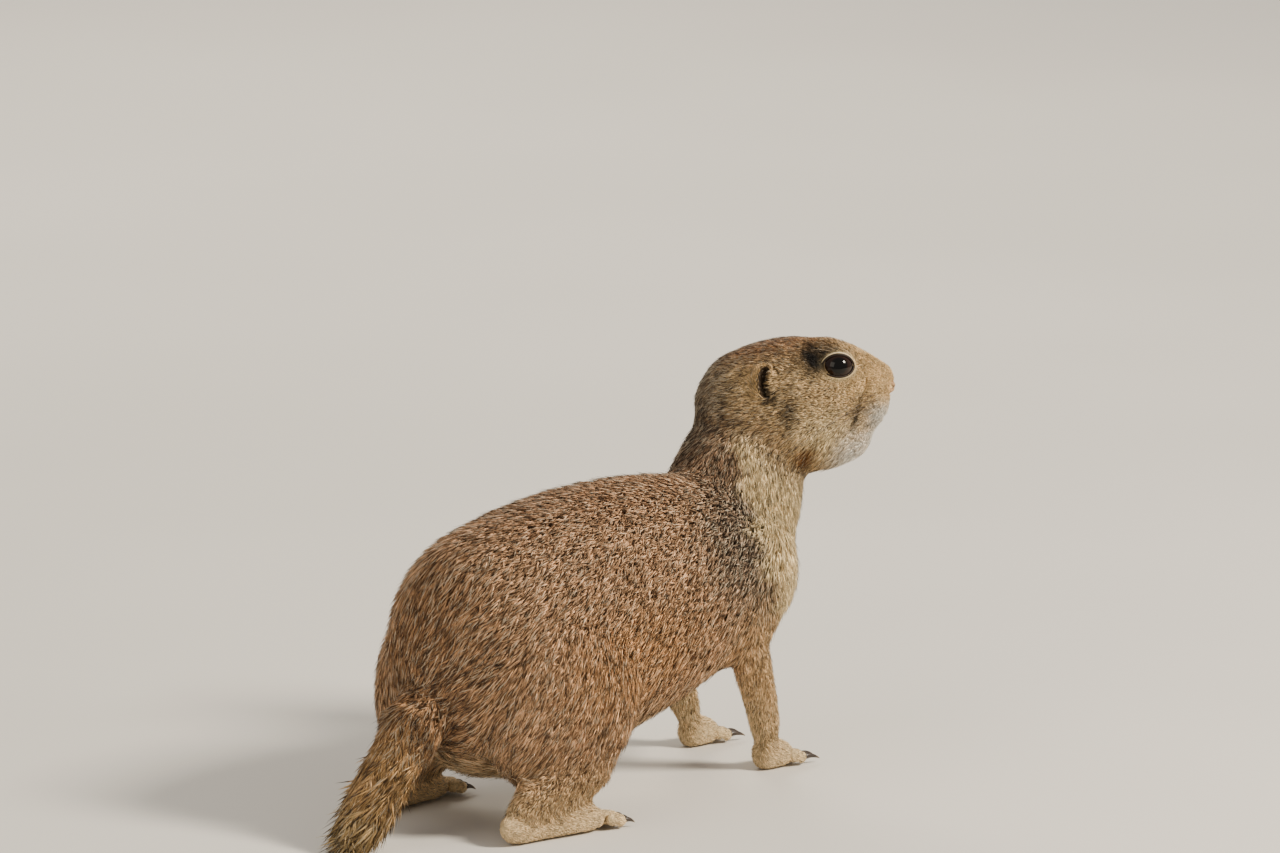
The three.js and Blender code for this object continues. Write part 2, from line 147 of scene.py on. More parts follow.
# One tuft. It is wider than a real hair, so that the coat covers the skin within its limit of triangles.
ROOT_DEPTH_MM = 0.25
TUFT_MIDDLE = 0.4  # where a tuft is widest, as a share of the way to its tip
TUFT_ARC = 0.42  # the same place along its arc
TUFT_HALF_WIDTH_MM = (0.055, 0.026)  # least, and more for each millimetre of hair
OFBAKE_PATCH = 0.003  # size of a tuft's patch on the unwrap

# Sizes of the patterns in the materials, mm
MOTTLE_MM = 3.333
SPECKLE_MM = 0.625
HAIR_SPACING_MM = 0.2
LID_FLECK_MM = 0.2857
PEBBLE_MM = 0.4
NOSE_MOTTLE_MM = 1.4286
STREAK_MM = (2.5, 0.30303, 0.30303)  # along the claw, and across it both ways
WHISKER_TONE_MM = 8.333
FLOOR_CLOUD_MM = 333.3

# Coat of each part: hair length, mm; its lie in the head's frame for head and ear, or else the body's;
# the colour's property; the share of dark-tipped hairs; how strongly its facets are smoothed away
Region = namedtuple("Region", "length lie colour grizzle smoothing")
REGIONS = {
    "head": Region(4.2, (-1, 0, -0.12), "cheek", 0.36, 0.30),
    "ear": Region(2.2, (-0.45, 0, 0.9), "ear", 0.15, 0.2),
    "neck": Region(7.5, (-0.25, 0, -1), "shoulder", 0.48, 1),
    "torso_front": Region(8.5, (-1, 0, -0.4), "flank", 0.36, 1),
    "torso_rear": Region(9, (-1, 0, -0.5), "flank", 0.36, 1),
    "tail": Region(15, (-0.68, 0, -0.73), "tail", 0.22, 0.3),
    "upper_arm": Region(6, (-0.2, 0, -1), "limb", 0.25, 0.8),
    "forearm": Region(4, (-0.1, 0, -1), "limb", 0.12, 0.5),
    "forefoot": Region(2, (1, 0, -0.15), "foot", 0.05, 0.2),
    "thigh": Region(8, (-0.75, 0, -0.8), "flank", 0.3, 1),
    "shank": Region(5, (-0.85, 0, -0.5), "limb", 0.15, 0.5),
    "hindfoot": Region(2.2, (1, 0, -0.1), "foot", 0.06, 0.2),
}
KINDS = list(REGIONS)

# Coat pieces: number of tufts, the kinds of part they cover, and where they grow on the head: ahead of
# FACE_BACK_MM where this is True, behind it where it is False, and all over where it is None
Coat = namedtuple("Coat", "name tufts kinds ahead")
COATS = (
    Coat("coat_face", 33000, ("head",), True),
    Coat("coat_crown", 33000, ("head", "ear"), False),
    Coat("coat_neck", 24000, ("neck",), None),
    Coat("coat_torso_front", 33000, ("torso_front",), None),
    Coat("coat_torso_rear", 33000, ("torso_rear",), None),
    Coat("coat_forelimbs", 17000, ("upper_arm", "forearm"), None),
    Coat("coat_hindlimbs", 29000, ("thigh", "shank"), None),
    Coat("coat_feet", 17000, ("forefoot", "hindfoot"), None),
    Coat("coat_tail", 12000, ("tail",), None),
)

# Markings and painted shade: soft patches in the frame of the head or body, alike on both sides, mm
Patch = namedtuple("Patch", "where centre reach colour strength grizzle")
PATCHES = (
    Patch("body", (-90, 0, 118), (95, 30, 18), "back", 0.9, 0.44),
    Patch("body", (-100, 40, 60), (45, 22, 20), "warm", 0.7, 0.34),
    Patch("body", (-30, 30, 92), (26, 22, 24), "shoulder", 0.9, 0.55),
    Patch("body", (-172, 0, 72), (22, 34, 30), "rump", 0.8, 0.4),
    Patch("body", (-80, 0, 18), (95, 32, 18), "belly", 0.9, 0.03),
    Patch("body", (-181, 0, 42), (15, 17, 15), "rump", 0.9, 0.42),
    Patch("body", (-214, 0, 9), (13, 20, 13), "tail_end", 0.6, 0.3),
    Patch("head", (4, 0, 24), (28, 17, 12), "crown", 0.9, 0.5),
    # The nape in the shoulder's dark grizzle: partly its own darker coat, partly painted shade from the head
    Patch("head", (-16, 0, 4), (14, 24, 26), "shoulder", 0.75, 0.6),
    Patch("head", (44, 0, 14), (13, 10, 8), "muzzle", 0.95, 0.1),
    Patch("head", (45, 9, 6), (9, 8, 9), "muzzle", 0.9, 0.14),
    Patch("head", (38, 12, 14), (6, 6, 9), "muzzle", 0.8, 0.1),
    Patch("head", (28, 16, -11), (11, 12, 11), "chest", 0.9, 0.14),
    Patch("head", (48, 5, -2.6), (6, 10, 5.4), "lip", 1, 0.04),
    Patch("head", (45, 0, -9.5), (8, 10, 5), "lip", 0.9, 0.03),
    Patch("head", (37, 0, -15), (8, 15, 9.5), "throat", 1, 0),
    Patch("head", (22, 17, -17), (4.8, 12, 4.6), "jowl", 1, 0.2),
    # Painted shadow: a dark patch on the cheek below the ear
    Patch("head", (16.5, 20, -1), (3.8, 7, 6.5), "brow", 0.6, 0.4),
    # Painted shade: the near-black notch below the front of the ear
    Patch("head", (9.8, 20, 4.6), (2.8, 5, 2.8), "brow", 0.95, 0),
    # Painted shade at the corner of the mouth, below the whisker pad
    Patch("head", (39.6, 12, -3.5), (1.7, 5, 3.8), "brow", 0.6, 0.1),
    Patch("head", (25.2, 13, 18), (7.4, 10, 7.6), "brow", 1, 0),
    Patch("head", (29.5, 12, 23.4), (8.5, 8, 3.6), "brow", 0.85, 0.1),
)

# Camera, from where the photo was taken: turned and raised about the animal, far off with a long lens
PHOTO_SIZE = (1280, 853)
PHOTO_SCALE = 2700  # pixels for each metre of the animal
PHOTO_EYE = (837, 367)  # pixel of the right eye's centre
CAMERA_TURN = math.radians(-48)
CAMERA_RISE = math.radians(12)
CAMERA_DISTANCE = 6
SENSOR = 36  # mm, the width of the camera's film

# Lamps: metres from the aim point to the camera's right, up, and towards the camera; size; power's property
Lamp = namedtuple("Lamp", "name right up near size power")
LAMPS = (
    Lamp("key_lamp", 1.45, 1.05, 0.75, 0.45, "key"),
    Lamp("fill_lamp", -1.2, 0.6, 1.4, 1.2, "fill"),
    Lamp("back_lamp", -0.3, 1.2, -1.3, 0.7, "rim"),
)
LAMP_TINT = "#FFF3E0"
SKY_TINT = "#F3F0EB"
FLOOR_SIZE = 30  # metres

# Sockets of the Mix node when it mixes colours, and how every Mix and Map Range node here is set
MIX_FACTOR, MIX_A, MIX_B, MIX_RESULT = 0, 6, 7, 2
COLOUR_MIX = {"data_type": "RGBA", "output": MIX_RESULT}
SMOOTH_RISE = {"interpolation_type": "SMOOTHSTEP"}


def linear(hex_colour):
    """An sRGB hex colour as linear red, green and blue."""
    channels = [int(hex_colour[i:i + 2], 16) / 255 for i in (1, 3, 5)]
    return tuple(c / 12.92 if c <= 0.04045 else ((c + 0.055) / 1.055) ** 2.4 for c in channels)


def colour_property(name, description, hex_colour):
    """A colour that a user may change."""
    return FloatVectorProperty(
        name=name, description=description, default=linear(hex_colour), subtype="COLOR", size=3, min=0, max=1
    )


def number_property(name, description, default, **settings):
    """A size or strength that a user may change."""
    return FloatProperty(name=name, description=description, default=default, **settings)


class PrairieDogColours(bpy.types.PropertyGroup):
    """Colours of the coat and the bare parts."""

    muzzle: colour_property("Muzzle", "Short hair of the muzzle and round the eye", "#F6D298")
    lip: colour_property("Lips", "Grey-white hair round the mouth", "#E8E2D6")
    throat: colour_property("Throat", "White tuft below the chin", "#FFFCF4")
    cheek: colour_property("Cheek", "Buff hair of the cheek", "#E6C490")
    crown: colour_property("Crown", "Cinnamon hair between the ears", "#BE8458")
    brow: colour_property("Brow", "Near-black mark above and behind the eye", "#140E0A")
    # Also the colour of painted shade: the mouth, the crease behind the whisker pad, the cheek, below the ear
    # and the mouth's corner
    jowl: colour_property("Jowl", "Ochre spot at the corner of the jaw", "#80531F")
    ear: colour_property("Ear", "Short hair of the ear", "#DDB67A")
    hollow: colour_property("Ear hollow", "Skin in the shade of the ear", "#24170F")
    chest: colour_property("Chest", "Cream hair of the throat and chest", "#FFE6B4")
    shoulder: colour_property("Shoulder", "Grizzled hair of the shoulder", "#94806C")
    back: colour_property("Back", "Grizzled hair along the back", "#C79A74")
    flank: colour_property("Flank", "Cinnamon-buff hair of the side", "#DFB288")
    warm: colour_property("Mid flank", "Warmer hair at the middle of the side", "#E4AC72")
    belly: colour_property("Belly", "Pale hair below", "#EBD9AE")
    rump: colour_property("Rump", "Brown hair of the rump", "#B88A60")
    tail: colour_property("Tail", "Tan hair of the tail", "#CDA26C")
    tail_end: colour_property("Tail end", "Pale hair at the end of the tail", "#DDC28C")
    limb: colour_property("Limb", "Buff hair of the legs", "#E2BC8A")
    foot: colour_property("Foot", "Pale hair of the feet", "#EACFA2")
    dark_tip: colour_property("Dark tips", "Tips of the dark hairs", "#1A110B")
    pale_tip: colour_property("Pale tips", "Tips of the pale hairs", "#FFF5DC")
    lid: colour_property("Lid", "Pale fine hair of the eyelids", "#E6D2A6")
    rim: colour_property("Lid rim", "Dark bare edge of the eyelids", "#20160F")
    nose: colour_property("Nose", "Bare skin of the nose", "#A2805A")
    claw: colour_property("Claw", "Dark horn of the claws", "#2E241D")


class PrairieDogCoat(bpy.types.PropertyGroup):
    """Sizes of the coat."""

    length: number_property("Length", "Hair length, as a share of the real one", 1, min=0.5)
    thickness: number_property("Thickness", "Tuft width, as a share of the real one", 1)
    stray: number_property(
        "Stray", "How far a tuft turns from the lie", 0.2, subtype="ANGLE", unit="ROTATION"
    )
    guard: number_property("Guard hairs", "Share of long dark hairs", 0.06, subtype="FACTOR")
    seed: IntProperty(name="Seed", description="Start of the random draws", default=11)


class PrairieDogStage(bpy.types.PropertyGroup):
    """Light and floor."""

    key: number_property("Key light", "Power of the main lamp", 68, unit="POWER")
    fill: number_property("Fill light", "Power of the second lamp", 9, unit="POWER")
    rim: number_property("Back light", "Power of the lamp behind", 16, unit="POWER")
    sky: number_property("Surroundings", "Strength of the even light", 0.5)
    floor: colour_property("Floor", "Plain pale floor", "#D9D6D0")


# Frames

def node_middle(name):
    """The middle of a solid's box."""
    low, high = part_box(name)
    return (low + high) / 2


def frames():
    """The head's and the body's own frames, in millimetres, as matrices to the scene's metres."""
    axes = Matrix.Rotation(HEAD_TURN, 4, "Z") @ Matrix.Rotation(HEAD_ROLL, 4, "X")
    between_eyes = (node_middle("eye_left") + node_middle("eye_right")) / 2
    origin = between_eyes - axes @ (Vector((EYE_MM[0], 0, EYE_MM[2])) * MM)
    scale = Matrix.Scale(MM, 4)
    return {
        "head": Matrix.Translation(origin) @ axes @ scale,
        "body": Matrix.Translation((origin.x, origin.y, 0)) @ scale,
    }


FRAMES = frames()


def through_matrix(matrix, points):
    """Points put through a matrix."""
    matrix = np.array(matrix)
    return np.asarray(points, float) @ matrix[:3, :3].T + matrix[:3, 3]


def placed(where, points):
    """Points of the head's or body's frame, in the scene."""
    return through_matrix(FRAMES[where], points)


def seen_from(where, points):
    """Points of the scene, in the head's or body's frame."""
    return through_matrix(FRAMES[where].inverted(), points)


def turned(where, vectors):
    """Directions of the head's or body's frame, in the scene."""
    return np.asarray(vectors, float) @ (np.array(FRAMES[where])[:3, :3] / MM).T


def unit(vectors):
    """The same directions at length 1."""
    return vectors / np.maximum(np.linalg.norm(vectors, axis=-1, keepdims=True), 1e-9)


def smoothstep(low, high, value):
    """Rises smoothly from 0 at low to 1 at high."""
    share = np.clip((value - low) / (high - low), 0, 1)
    return share * share * (3 - 2 * share)


def bell(distance, width):
    """1 where the distance is 0, and falling off over this width."""
    return np.exp(-((distance / width) ** 2))


def path_distance(points, path):
    """Distance of each point from a line through several places."""
    nearest = np.full(len(points), np.inf)
    for start, end in zip(np.asarray(path[:-1], float), np.asarray(path[1:], float)):
        run = end - start
        share = np.clip((points - start) @ run / (run @ run), 0, 1)
        nearest = np.minimum(nearest, np.linalg.norm(points - start - share[:, None] * run, axis=1))
    return nearest


def both_sides(points):
    """The same points with both sides folded onto the left."""
    folded = points.copy()
    folded[:, 1] = np.abs(folded[:, 1])
    return folded


def ball_share(points, middle, half):
    """Squared distance from a ball's middle, where 1 is its surface."""
    return np.sum(((points - middle) / half) ** 2, axis=1)


def eye_axes():
    """The left eye's own axes in the head's frame: along its slit, across it, and out of the head."""
    out = unit(np.array(EYE_AXIS))
    along = unit(np.cross(out, (0, 0, 1)))
    return along, np.cross(along, out), out


def eye_coordinates(folded):
    """Place of each point as seen from the eye: from its centre, and as a share of the opening."""
    from_centre = folded - EYE_MM
    along, across, out = eye_axes()
    u, v, w = from_centre @ along, from_centre @ across, from_centre @ out
    share = np.hypot(u / EYE_OPENING_MM[0], v / EYE_OPENING_MM[1])
    return from_centre, share, w


# Mesh helpers

def deselect_all():
    if bpy.context.object and bpy.context.object.mode != "OBJECT":
        bpy.ops.object.mode_set(mode="OBJECT")
    bpy.ops.object.select_all(action="DESELECT")


def make_active(obj):
    deselect_all()
    obj.select_set(True)
    bpy.context.view_layer.objects.active = obj


def joined(objects, name):
    """Joins objects into one of this name."""
    deselect_all()
    for piece in objects:
        piece.select_set(True)
    bpy.context.view_layer.objects.active = objects[0]
    bpy.ops.object.join()
    whole = bpy.context.object
    whole.name = name
    whole.data.name = name
    return whole


def apply_modifier(obj, kind, **settings):
    modifier = obj.modifiers.new(kind.lower(), kind)
    for key, value in settings.items():
        setattr(modifier, key, value)
    make_active(obj)
    bpy.ops.object.modifier_apply(modifier=modifier.name)


def edit(obj, *steps):
    """Runs edit-mode steps on a whole mesh."""
    make_active(obj)
    bpy.ops.object.mode_set(mode="EDIT")
    bpy.ops.mesh.select_all(action="SELECT")
    for step, settings in steps:
        step(**settings)
    bpy.ops.object.mode_set(mode="OBJECT")


def linked(name, data):
    """A new object in the scene."""
    obj = bpy.data.objects.new(name, data)
    bpy.context.scene.collection.objects.link(obj)
    return obj


def new_ball(name, segments, rings, radius=1):
    """A ball of this name."""
    deselect_all()
    bpy.ops.mesh.primitive_uv_sphere_add(segments=segments, ring_count=rings, radius=radius)
    ball = bpy.context.object
    ball.name = name
    return ball


def read(items, field, width=1, kind=np.float32):
    """One field of every vertex, edge, face or loop, with a row for each."""
    values = np.empty(len(items) * width, kind)
    items.foreach_get(field, values)
    return values.reshape(-1, width)


def points_of(mesh, what="co"):
    return read(mesh.vertices, what, 3).astype(float)


def move_points(mesh, points):
    mesh.vertices.foreach_set("co", points.astype(np.float32).ravel())
    mesh.update()


def edges_of(mesh):
    return read(mesh.edges, "vertices", 2, np.int32)


def neighbour_mean(values, pairs):
    """Mean of each vertex's neighbours."""
    count = len(values)
    first, second = pairs.T
    total = np.empty_like(values)
    for column in range(values.shape[1]):
        total[:, column] = np.bincount(first, values[second, column], count)
        total[:, column] += np.bincount(second, values[first, column], count)
    ends = np.bincount(pairs.ravel(), minlength=count)
    return total / np.maximum(ends, 1)[:, None]


def blurred(values, pairs, rounds):
    """Values evened out over the mesh."""
    for _ in range(rounds):
        values = neighbour_mean(values, pairs)
    return values


def smooth_shape(mesh, strength, rounds):
    """Takes facets out of a mesh and keeps its bulk: each round shrinks it and swells it again."""
    points = points_of(mesh)
    pairs = edges_of(mesh)
    for _ in range(rounds):
        for step in (0.5, -0.52):
            points += step * strength[:, None] * (neighbour_mean(points, pairs) - points)
    move_points(mesh, points)


def set_attribute(mesh, name, values):
    """Keeps a number, or a colour, for each vertex."""
    if values.ndim == 1:
        mesh.attributes.new(name, "FLOAT", "POINT").data.foreach_set("value", values.astype(np.float32))
        return
    solid = np.ones((len(values), 4), np.float32)
    solid[:, :3] = values
    mesh.attributes.new(name, "FLOAT_COLOR", "POINT").data.foreach_set("color", solid.ravel())


def finish_piece(obj, material, slot, *nodes):
    """Gives a piece its finish, and says what it rides on and replaces."""
    obj.data.materials.clear()
    obj.data.materials.append(material)
    obj.data.shade_smooth()
    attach(obj, "root")
    if nodes:
        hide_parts(*nodes)
    return obj


def through(stations, shares):
    """A smooth curve through the stations, at shares of the way along them."""
    stations = np.asarray(stations, float)
    last = len(stations) - 1
    place = np.clip(shares, 0, 1) * last
    index = np.minimum(place.astype(int), last - 1)
    f = (place - index)[:, None]
    p1, p2 = stations[index], stations[index + 1]
    p0 = np.where(index[:, None] > 0, stations[np.maximum(index - 1, 0)], 2 * p1 - p2)
    p3 = np.where(index[:, None] + 2 <= last, stations[np.minimum(index + 2, last)], 2 * p2 - p1)
    cubic = (3 * p1 - p0 - 3 * p2 + p3) * f**3
    return 0.5 * (2 * p1 + (p2 - p0) * f + (2 * p0 - 5 * p1 + 4 * p2 - p3) * f**2 + cubic)


def lofted(name, where, stations, segments=32, rings=24, rounding=(0.2, 0.2)):
    """A ball drawn out through stations (x, y, z, half width, half height) in mm."""
    form = new_ball(name, segments, rings)
    ball = points_of(form.data)
    share = (1 + ball[:, 2]) / 2
    ring = np.maximum(np.hypot(ball[:, 0], ball[:, 1]), 1e-9)
    from_end = np.minimum(np.minimum(share / rounding[0], (1 - share) / rounding[1]), 1)
    size = np.sqrt(np.maximum(0, 1 - (1 - from_end) ** 2))
    here = through(stations, share)
    step = 0.01
    tangent = unit(through(stations, share + step)[:, :3] - through(stations, share - step)[:, :3])
    side = unit(np.cross((0.0, 0.0, 1.0), tangent))
    lift = np.cross(tangent, side)
    across = (ball[:, 0] / ring * size * here[:, 3])[:, None]
    upward = (ball[:, 1] / ring * size * here[:, 4])[:, None]
    move_points(form.data, placed(where, here[:, :3] + side * across + lift * upward))
    return form


def ball_form(name, where, centre, half, segments=48, rings=32):
    """A ball of three half sizes in mm."""
    form = new_ball(name, segments, rings)
    move_points(form.data, placed(where, points_of(form.data) * half + centre))
    return form


# Material helpers

def add_node(tree, kind, inputs=(), output=0, **settings):
    """Adds one node and gives back one output. Its inputs, in order or by name, are values or links."""
    new = tree.nodes.new(f"ShaderNode{kind}")
    for key, value in settings.items():
        setattr(new, key, value)
    for key, value in inputs.items() if isinstance(inputs, dict) else enumerate(inputs):
        if isinstance(value, bpy.types.NodeSocket):
            tree.links.new(value, new.inputs[key])
        else:
            new.inputs[key].default_value = value
    return new.outputs[output] if new.outputs else None


def new_material(name, surface):
    """A material with one surface shader; surface maps its inputs to plain values."""
    material = bpy.data.materials.new(name)
    material.use_nodes = True
    tree = material.node_tree
    tree.nodes.clear()
    shaded = add_node(tree, "BsdfPrincipled", surface)
    add_node(tree, "OutputMaterial", {"Surface": shaded})
    return material, tree, shaded.node


def finish_surface(tree, shader, colour, pattern=None, depth_mm=0, strength=0):
    """Gives a shader its colour, and a pattern's bump of this depth."""
    tree.links.new(colour, shader.inputs["Base Color"])
    if pattern:
        bump = add_node(tree, "Bump", {"Height": pattern, "Distance": depth_mm * MM, "Strength": strength})
        tree.links.new(bump, shader.inputs["Normal"])


def opaque(colour):
    """A colour with its alpha."""
    return (*colour, 1)


def place_in_mm(tree):
    """The surface's place in millimetres."""
    place = add_node(tree, "TexCoord", output="Object")
    return add_node(tree, "VectorMath", {"Vector": place, "Scale": 1 / MM}, operation="SCALE")


# Materials

def coat_material(colours):
    """Guard hair and underfur: keratin with a soft broken gloss, darker at its roots (its own dark base and
    painted shade deep in the coat), tips dark or pale.
    """
    material, tree, shader = new_material(
        "coat_hair", {"Roughness": 0.6, "IOR": 1.55, "Specular IOR Level": 0.22, "Sheen Weight": 0.04}
    )
    along = add_node(tree, "Attribute", output="Fac", attribute_name="along")
    strand = add_node(tree, "Attribute", output="Fac", attribute_name="strand")
    grizzle = add_node(tree, "Attribute", output="Fac", attribute_name="grizzle")
    marking = add_node(tree, "Attribute", output="Color", attribute_name="marking")

    # Each tuft has a tone of its own, over a wider mottle and the shade at its root
    draw = add_node(tree, "Math", (strand, 7.3), operation="MULTIPLY")
    draw = add_node(tree, "Math", (draw,), operation="FRACT")
    tone = add_node(tree, "MapRange", (draw, 0, 1, 0.6, 1.3), **SMOOTH_RISE)
    cloud = add_node(tree, "TexNoise", {"Vector": place_in_mm(tree), "Scale": 1 / MOTTLE_MM, "Detail": 3})
    mottle = add_node(tree, "MapRange", (cloud, 0.3, 0.7, 0.84, 1.14), **SMOOTH_RISE)
    tone = add_node(tree, "Math", (tone, mottle), operation="MULTIPLY")
    # Darker towards the root: partly the hair's own dark base, partly painted shade deep in the coat
    shade = add_node(tree, "MapRange", (along, 0, 0.5, 0.5, 1), **SMOOTH_RISE)
    tone = add_node(tree, "Math", (shade, tone), operation="MULTIPLY")
    hair = add_node(tree, "VectorMath", {"Vector": marking, "Scale": tone}, operation="SCALE")

    # Dark tips
    dark_tip, pale_tip = opaque(colours.dark_tip), opaque(colours.pale_tip)
    is_dark = add_node(tree, "Math", (strand, grizzle), operation="LESS_THAN")
    outer = add_node(tree, "MapRange", (along, 0.35, 0.75, 0, 0.92), **SMOOTH_RISE)
    dark = add_node(tree, "Math", (is_dark, outer), operation="MULTIPLY")
    hair = add_node(tree, "Mix", {MIX_FACTOR: dark, MIX_A: hair, MIX_B: dark_tip}, **COLOUR_MIX)

    # Pale tips, where the coat is grizzled
    pale_share = add_node(tree, "Math", (grizzle, 0.62), operation="MULTIPLY")
    pale_from = add_node(tree, "Math", (1, pale_share), operation="SUBTRACT")
    is_pale = add_node(tree, "Math", (strand, pale_from), operation="GREATER_THAN")
    outer = add_node(tree, "MapRange", (along, 0.4, 0.85, 0, 0.55), **SMOOTH_RISE)
    pale = add_node(tree, "Math", (is_pale, outer), operation="MULTIPLY")
    hair = add_node(tree, "Mix", {MIX_FACTOR: pale, MIX_A: hair, MIX_B: pale_tip}, **COLOUR_MIX)
    finish_surface(tree, shader, hair)
    return material


def skin_material():
    """Skin under close hair: matt, in the marks' colours darkened as painted shade under the hair, with the
    hairs as bump.
    """
    material, tree, shader = new_material("haired_skin", {"Roughness": 0.8, "Specular IOR Level": 0.2})
    place = place_in_mm(tree)
    marking = add_node(tree, "Attribute", output="Color", attribute_name="marking")
    speckle = add_node(tree, "TexNoise", {"Vector": place, "Scale": 1 / SPECKLE_MM, "Detail": 4})
    # Painted shade: the marks' colours darkened to 0.5 to 0.85 of themselves, as under the hair, with a
    # random speckle
    tone = add_node(tree, "MapRange", (speckle, 0.3, 0.7, 0.5, 0.85), **SMOOTH_RISE)
    colour = add_node(tree, "VectorMath", {"Vector": marking, "Scale": tone}, operation="SCALE")
    hairs = add_node(tree, "TexNoise", {"Vector": place, "Scale": 1 / HAIR_SPACING_MM, "Detail": 2})
    finish_surface(tree, shader, colour, hairs, 0.15, 0.6)
    return material


def eye_material():
    """A wet eye: a clear cornea over a dark brown iris and black pupil, with one sharp highlight."""
    material, tree, shader = new_material(
        "wet_eye",
        {"Roughness": 0.06, "IOR": 1.38, "Specular IOR Level": 0.3, "Coat Weight": 0.25, "Coat IOR": 1.4},
    )
    angle = add_node(tree, "Attribute", output="Fac", attribute_name="from_axis")
    pupil, iris, outer = (opaque(linear(shade)) for shade in ("#060403", "#20120A", "#0C0705"))
    in_iris = add_node(tree, "MapRange", (angle, 0.42, 0.6, 0, 1), **SMOOTH_RISE)
    eye = add_node(tree, "Mix", {MIX_FACTOR: in_iris, MIX_A: pupil, MIX_B: iris}, **COLOUR_MIX)
    past_iris = add_node(tree, "MapRange", (angle, 0.85, 1.05, 0, 1), **SMOOTH_RISE)
    eye = add_node(tree, "Mix", {MIX_FACTOR: past_iris, MIX_A: eye, MIX_B: outer}, **COLOUR_MIX)
    finish_surface(tree, shader, eye)
    return material


def lid_material(colours):
    """Eyelid: pale fine hair outside, bare dark damp skin at the edge on the eye."""
    material, tree, shader = new_material("fine_lid", {"Roughness": 0.6, "Specular IOR Level": 0.3})
    inner = add_node(tree, "Attribute", output="Fac", attribute_name="inner")
    fleck = add_node(tree, "TexNoise", {"Vector": place_in_mm(tree), "Scale": 1 / LID_FLECK_MM, "Detail": 3})
    tone = add_node(tree, "MapRange", (fleck, 0.3, 0.7, 0.78, 1.05), **SMOOTH_RISE)
    pale = add_node(tree, "VectorMath", {"Vector": tuple(colours.lid), "Scale": tone}, operation="SCALE")
    edge = add_node(tree, "MapRange", (inner, 0, 0.35, 0, 1), **SMOOTH_RISE)
    lid = add_node(tree, "Mix", {MIX_FACTOR: edge, MIX_A: pale, MIX_B: opaque(colours.rim)}, **COLOUR_MIX)
    finish_surface(tree, shader, lid, fleck, 0.12, 0.5)
    return material


def nose_material(colours):
    """Bare nose: damp, finely pebbled skin, with painted shade inside the nostrils."""
    material, tree, shader = new_material("pebbled_nose", {"Roughness": 0.5, "Specular IOR Level": 0.45})
    place = place_in_mm(tree)
    inside = add_node(tree, "Attribute", output="Fac", attribute_name="inside")
    pebbles = add_node(tree, "TexVoronoi", {"Vector": place, "Scale": 1 / PEBBLE_MM})
    mottle = add_node(tree, "TexNoise", {"Vector": place, "Scale": 1 / NOSE_MOTTLE_MM, "Detail": 3})
    tone = add_node(tree, "MapRange", (mottle, 0.35, 0.65, 0.75, 1.1), **SMOOTH_RISE)
    skin = add_node(tree, "VectorMath", {"Vector": tuple(colours.nose), "Scale": tone}, operation="SCALE")
    # Painted shade: near-black inside the nostrils' dents
    dark = opaque(linear("#120A07"))
    nose = add_node(tree, "Mix", {MIX_FACTOR: inside, MIX_A: skin, MIX_B: dark}, **COLOUR_MIX)
    finish_surface(tree, shader, nose, pebbles, 0.1, 0.5)
    return material


def claw_material(colours):
    """Claw horn: dark and half polished by digging, with fine streaks along it, paler at the tip."""
    material, tree, shader = new_material("claw_horn", {"Roughness": 0.38, "IOR": 1.54})
    along = add_node(tree, "Attribute", output="Fac", attribute_name="along")
    per_mm = tuple(1 / size for size in STREAK_MM)
    place = add_node(tree, "Mapping", {"Vector": place_in_mm(tree), "Scale": per_mm})
    streaks = add_node(tree, "TexNoise", {"Vector": place, "Scale": 1, "Detail": 3})
    tone = add_node(tree, "MapRange", (streaks, 0.3, 0.7, 0.6, 1.7), **SMOOTH_RISE)
    horn = add_node(tree, "VectorMath", {"Vector": tuple(colours.claw), "Scale": tone}, operation="SCALE")
    tip = add_node(tree, "MapRange", (along, 0.65, 1, 0, 0.55), **SMOOTH_RISE)
    pale = opaque(linear("#8B7457"))
    claw = add_node(tree, "Mix", {MIX_FACTOR: tip, MIX_A: horn, MIX_B: pale}, **COLOUR_MIX)
    finish_surface(tree, shader, claw, streaks, 0.08, 0.4)
    return material


def whisker_material():
    """Whisker: a stiff smooth hair, dark with paler lengths."""
    material, tree, shader = new_material("whisker_hair", {"Roughness": 0.35, "IOR": 1.55})
    dark, pale = opaque(linear("#241A13")), opaque(linear("#8F7A5D"))
    place = place_in_mm(tree)
    cloud = add_node(tree, "TexNoise", {"Vector": place, "Scale": 1 / WHISKER_TONE_MM, "Detail": 1})
    tone = add_node(tree, "MapRange", (cloud, 0.4, 0.6, 0, 1), **SMOOTH_RISE)
    hair = add_node(tree, "Mix", {MIX_FACTOR: tone, MIX_A: dark, MIX_B: pale}, **COLOUR_MIX)
    finish_surface(tree, shader, hair)
    return material


def floor_material(stage):
    """Painted board: matt and pale, with a faint tooth."""
    material, tree, shader = new_material("painted_floor", {"Roughness": 0.9, "Specular IOR Level": 0.2})
    place = place_in_mm(tree)
    cloud = add_node(tree, "TexNoise", {"Vector": place, "Scale": 1 / FLOOR_CLOUD_MM, "Detail": 2})
    tone = add_node(tree, "MapRange", (cloud, 0.3, 0.7, 0.97, 1.02), **SMOOTH_RISE)
    paint = add_node(tree, "VectorMath", {"Vector": tuple(stage.floor), "Scale": tone}, operation="SCALE")
    finish_surface(tree, shader, paint)
    return material


# What each point of the skin carries

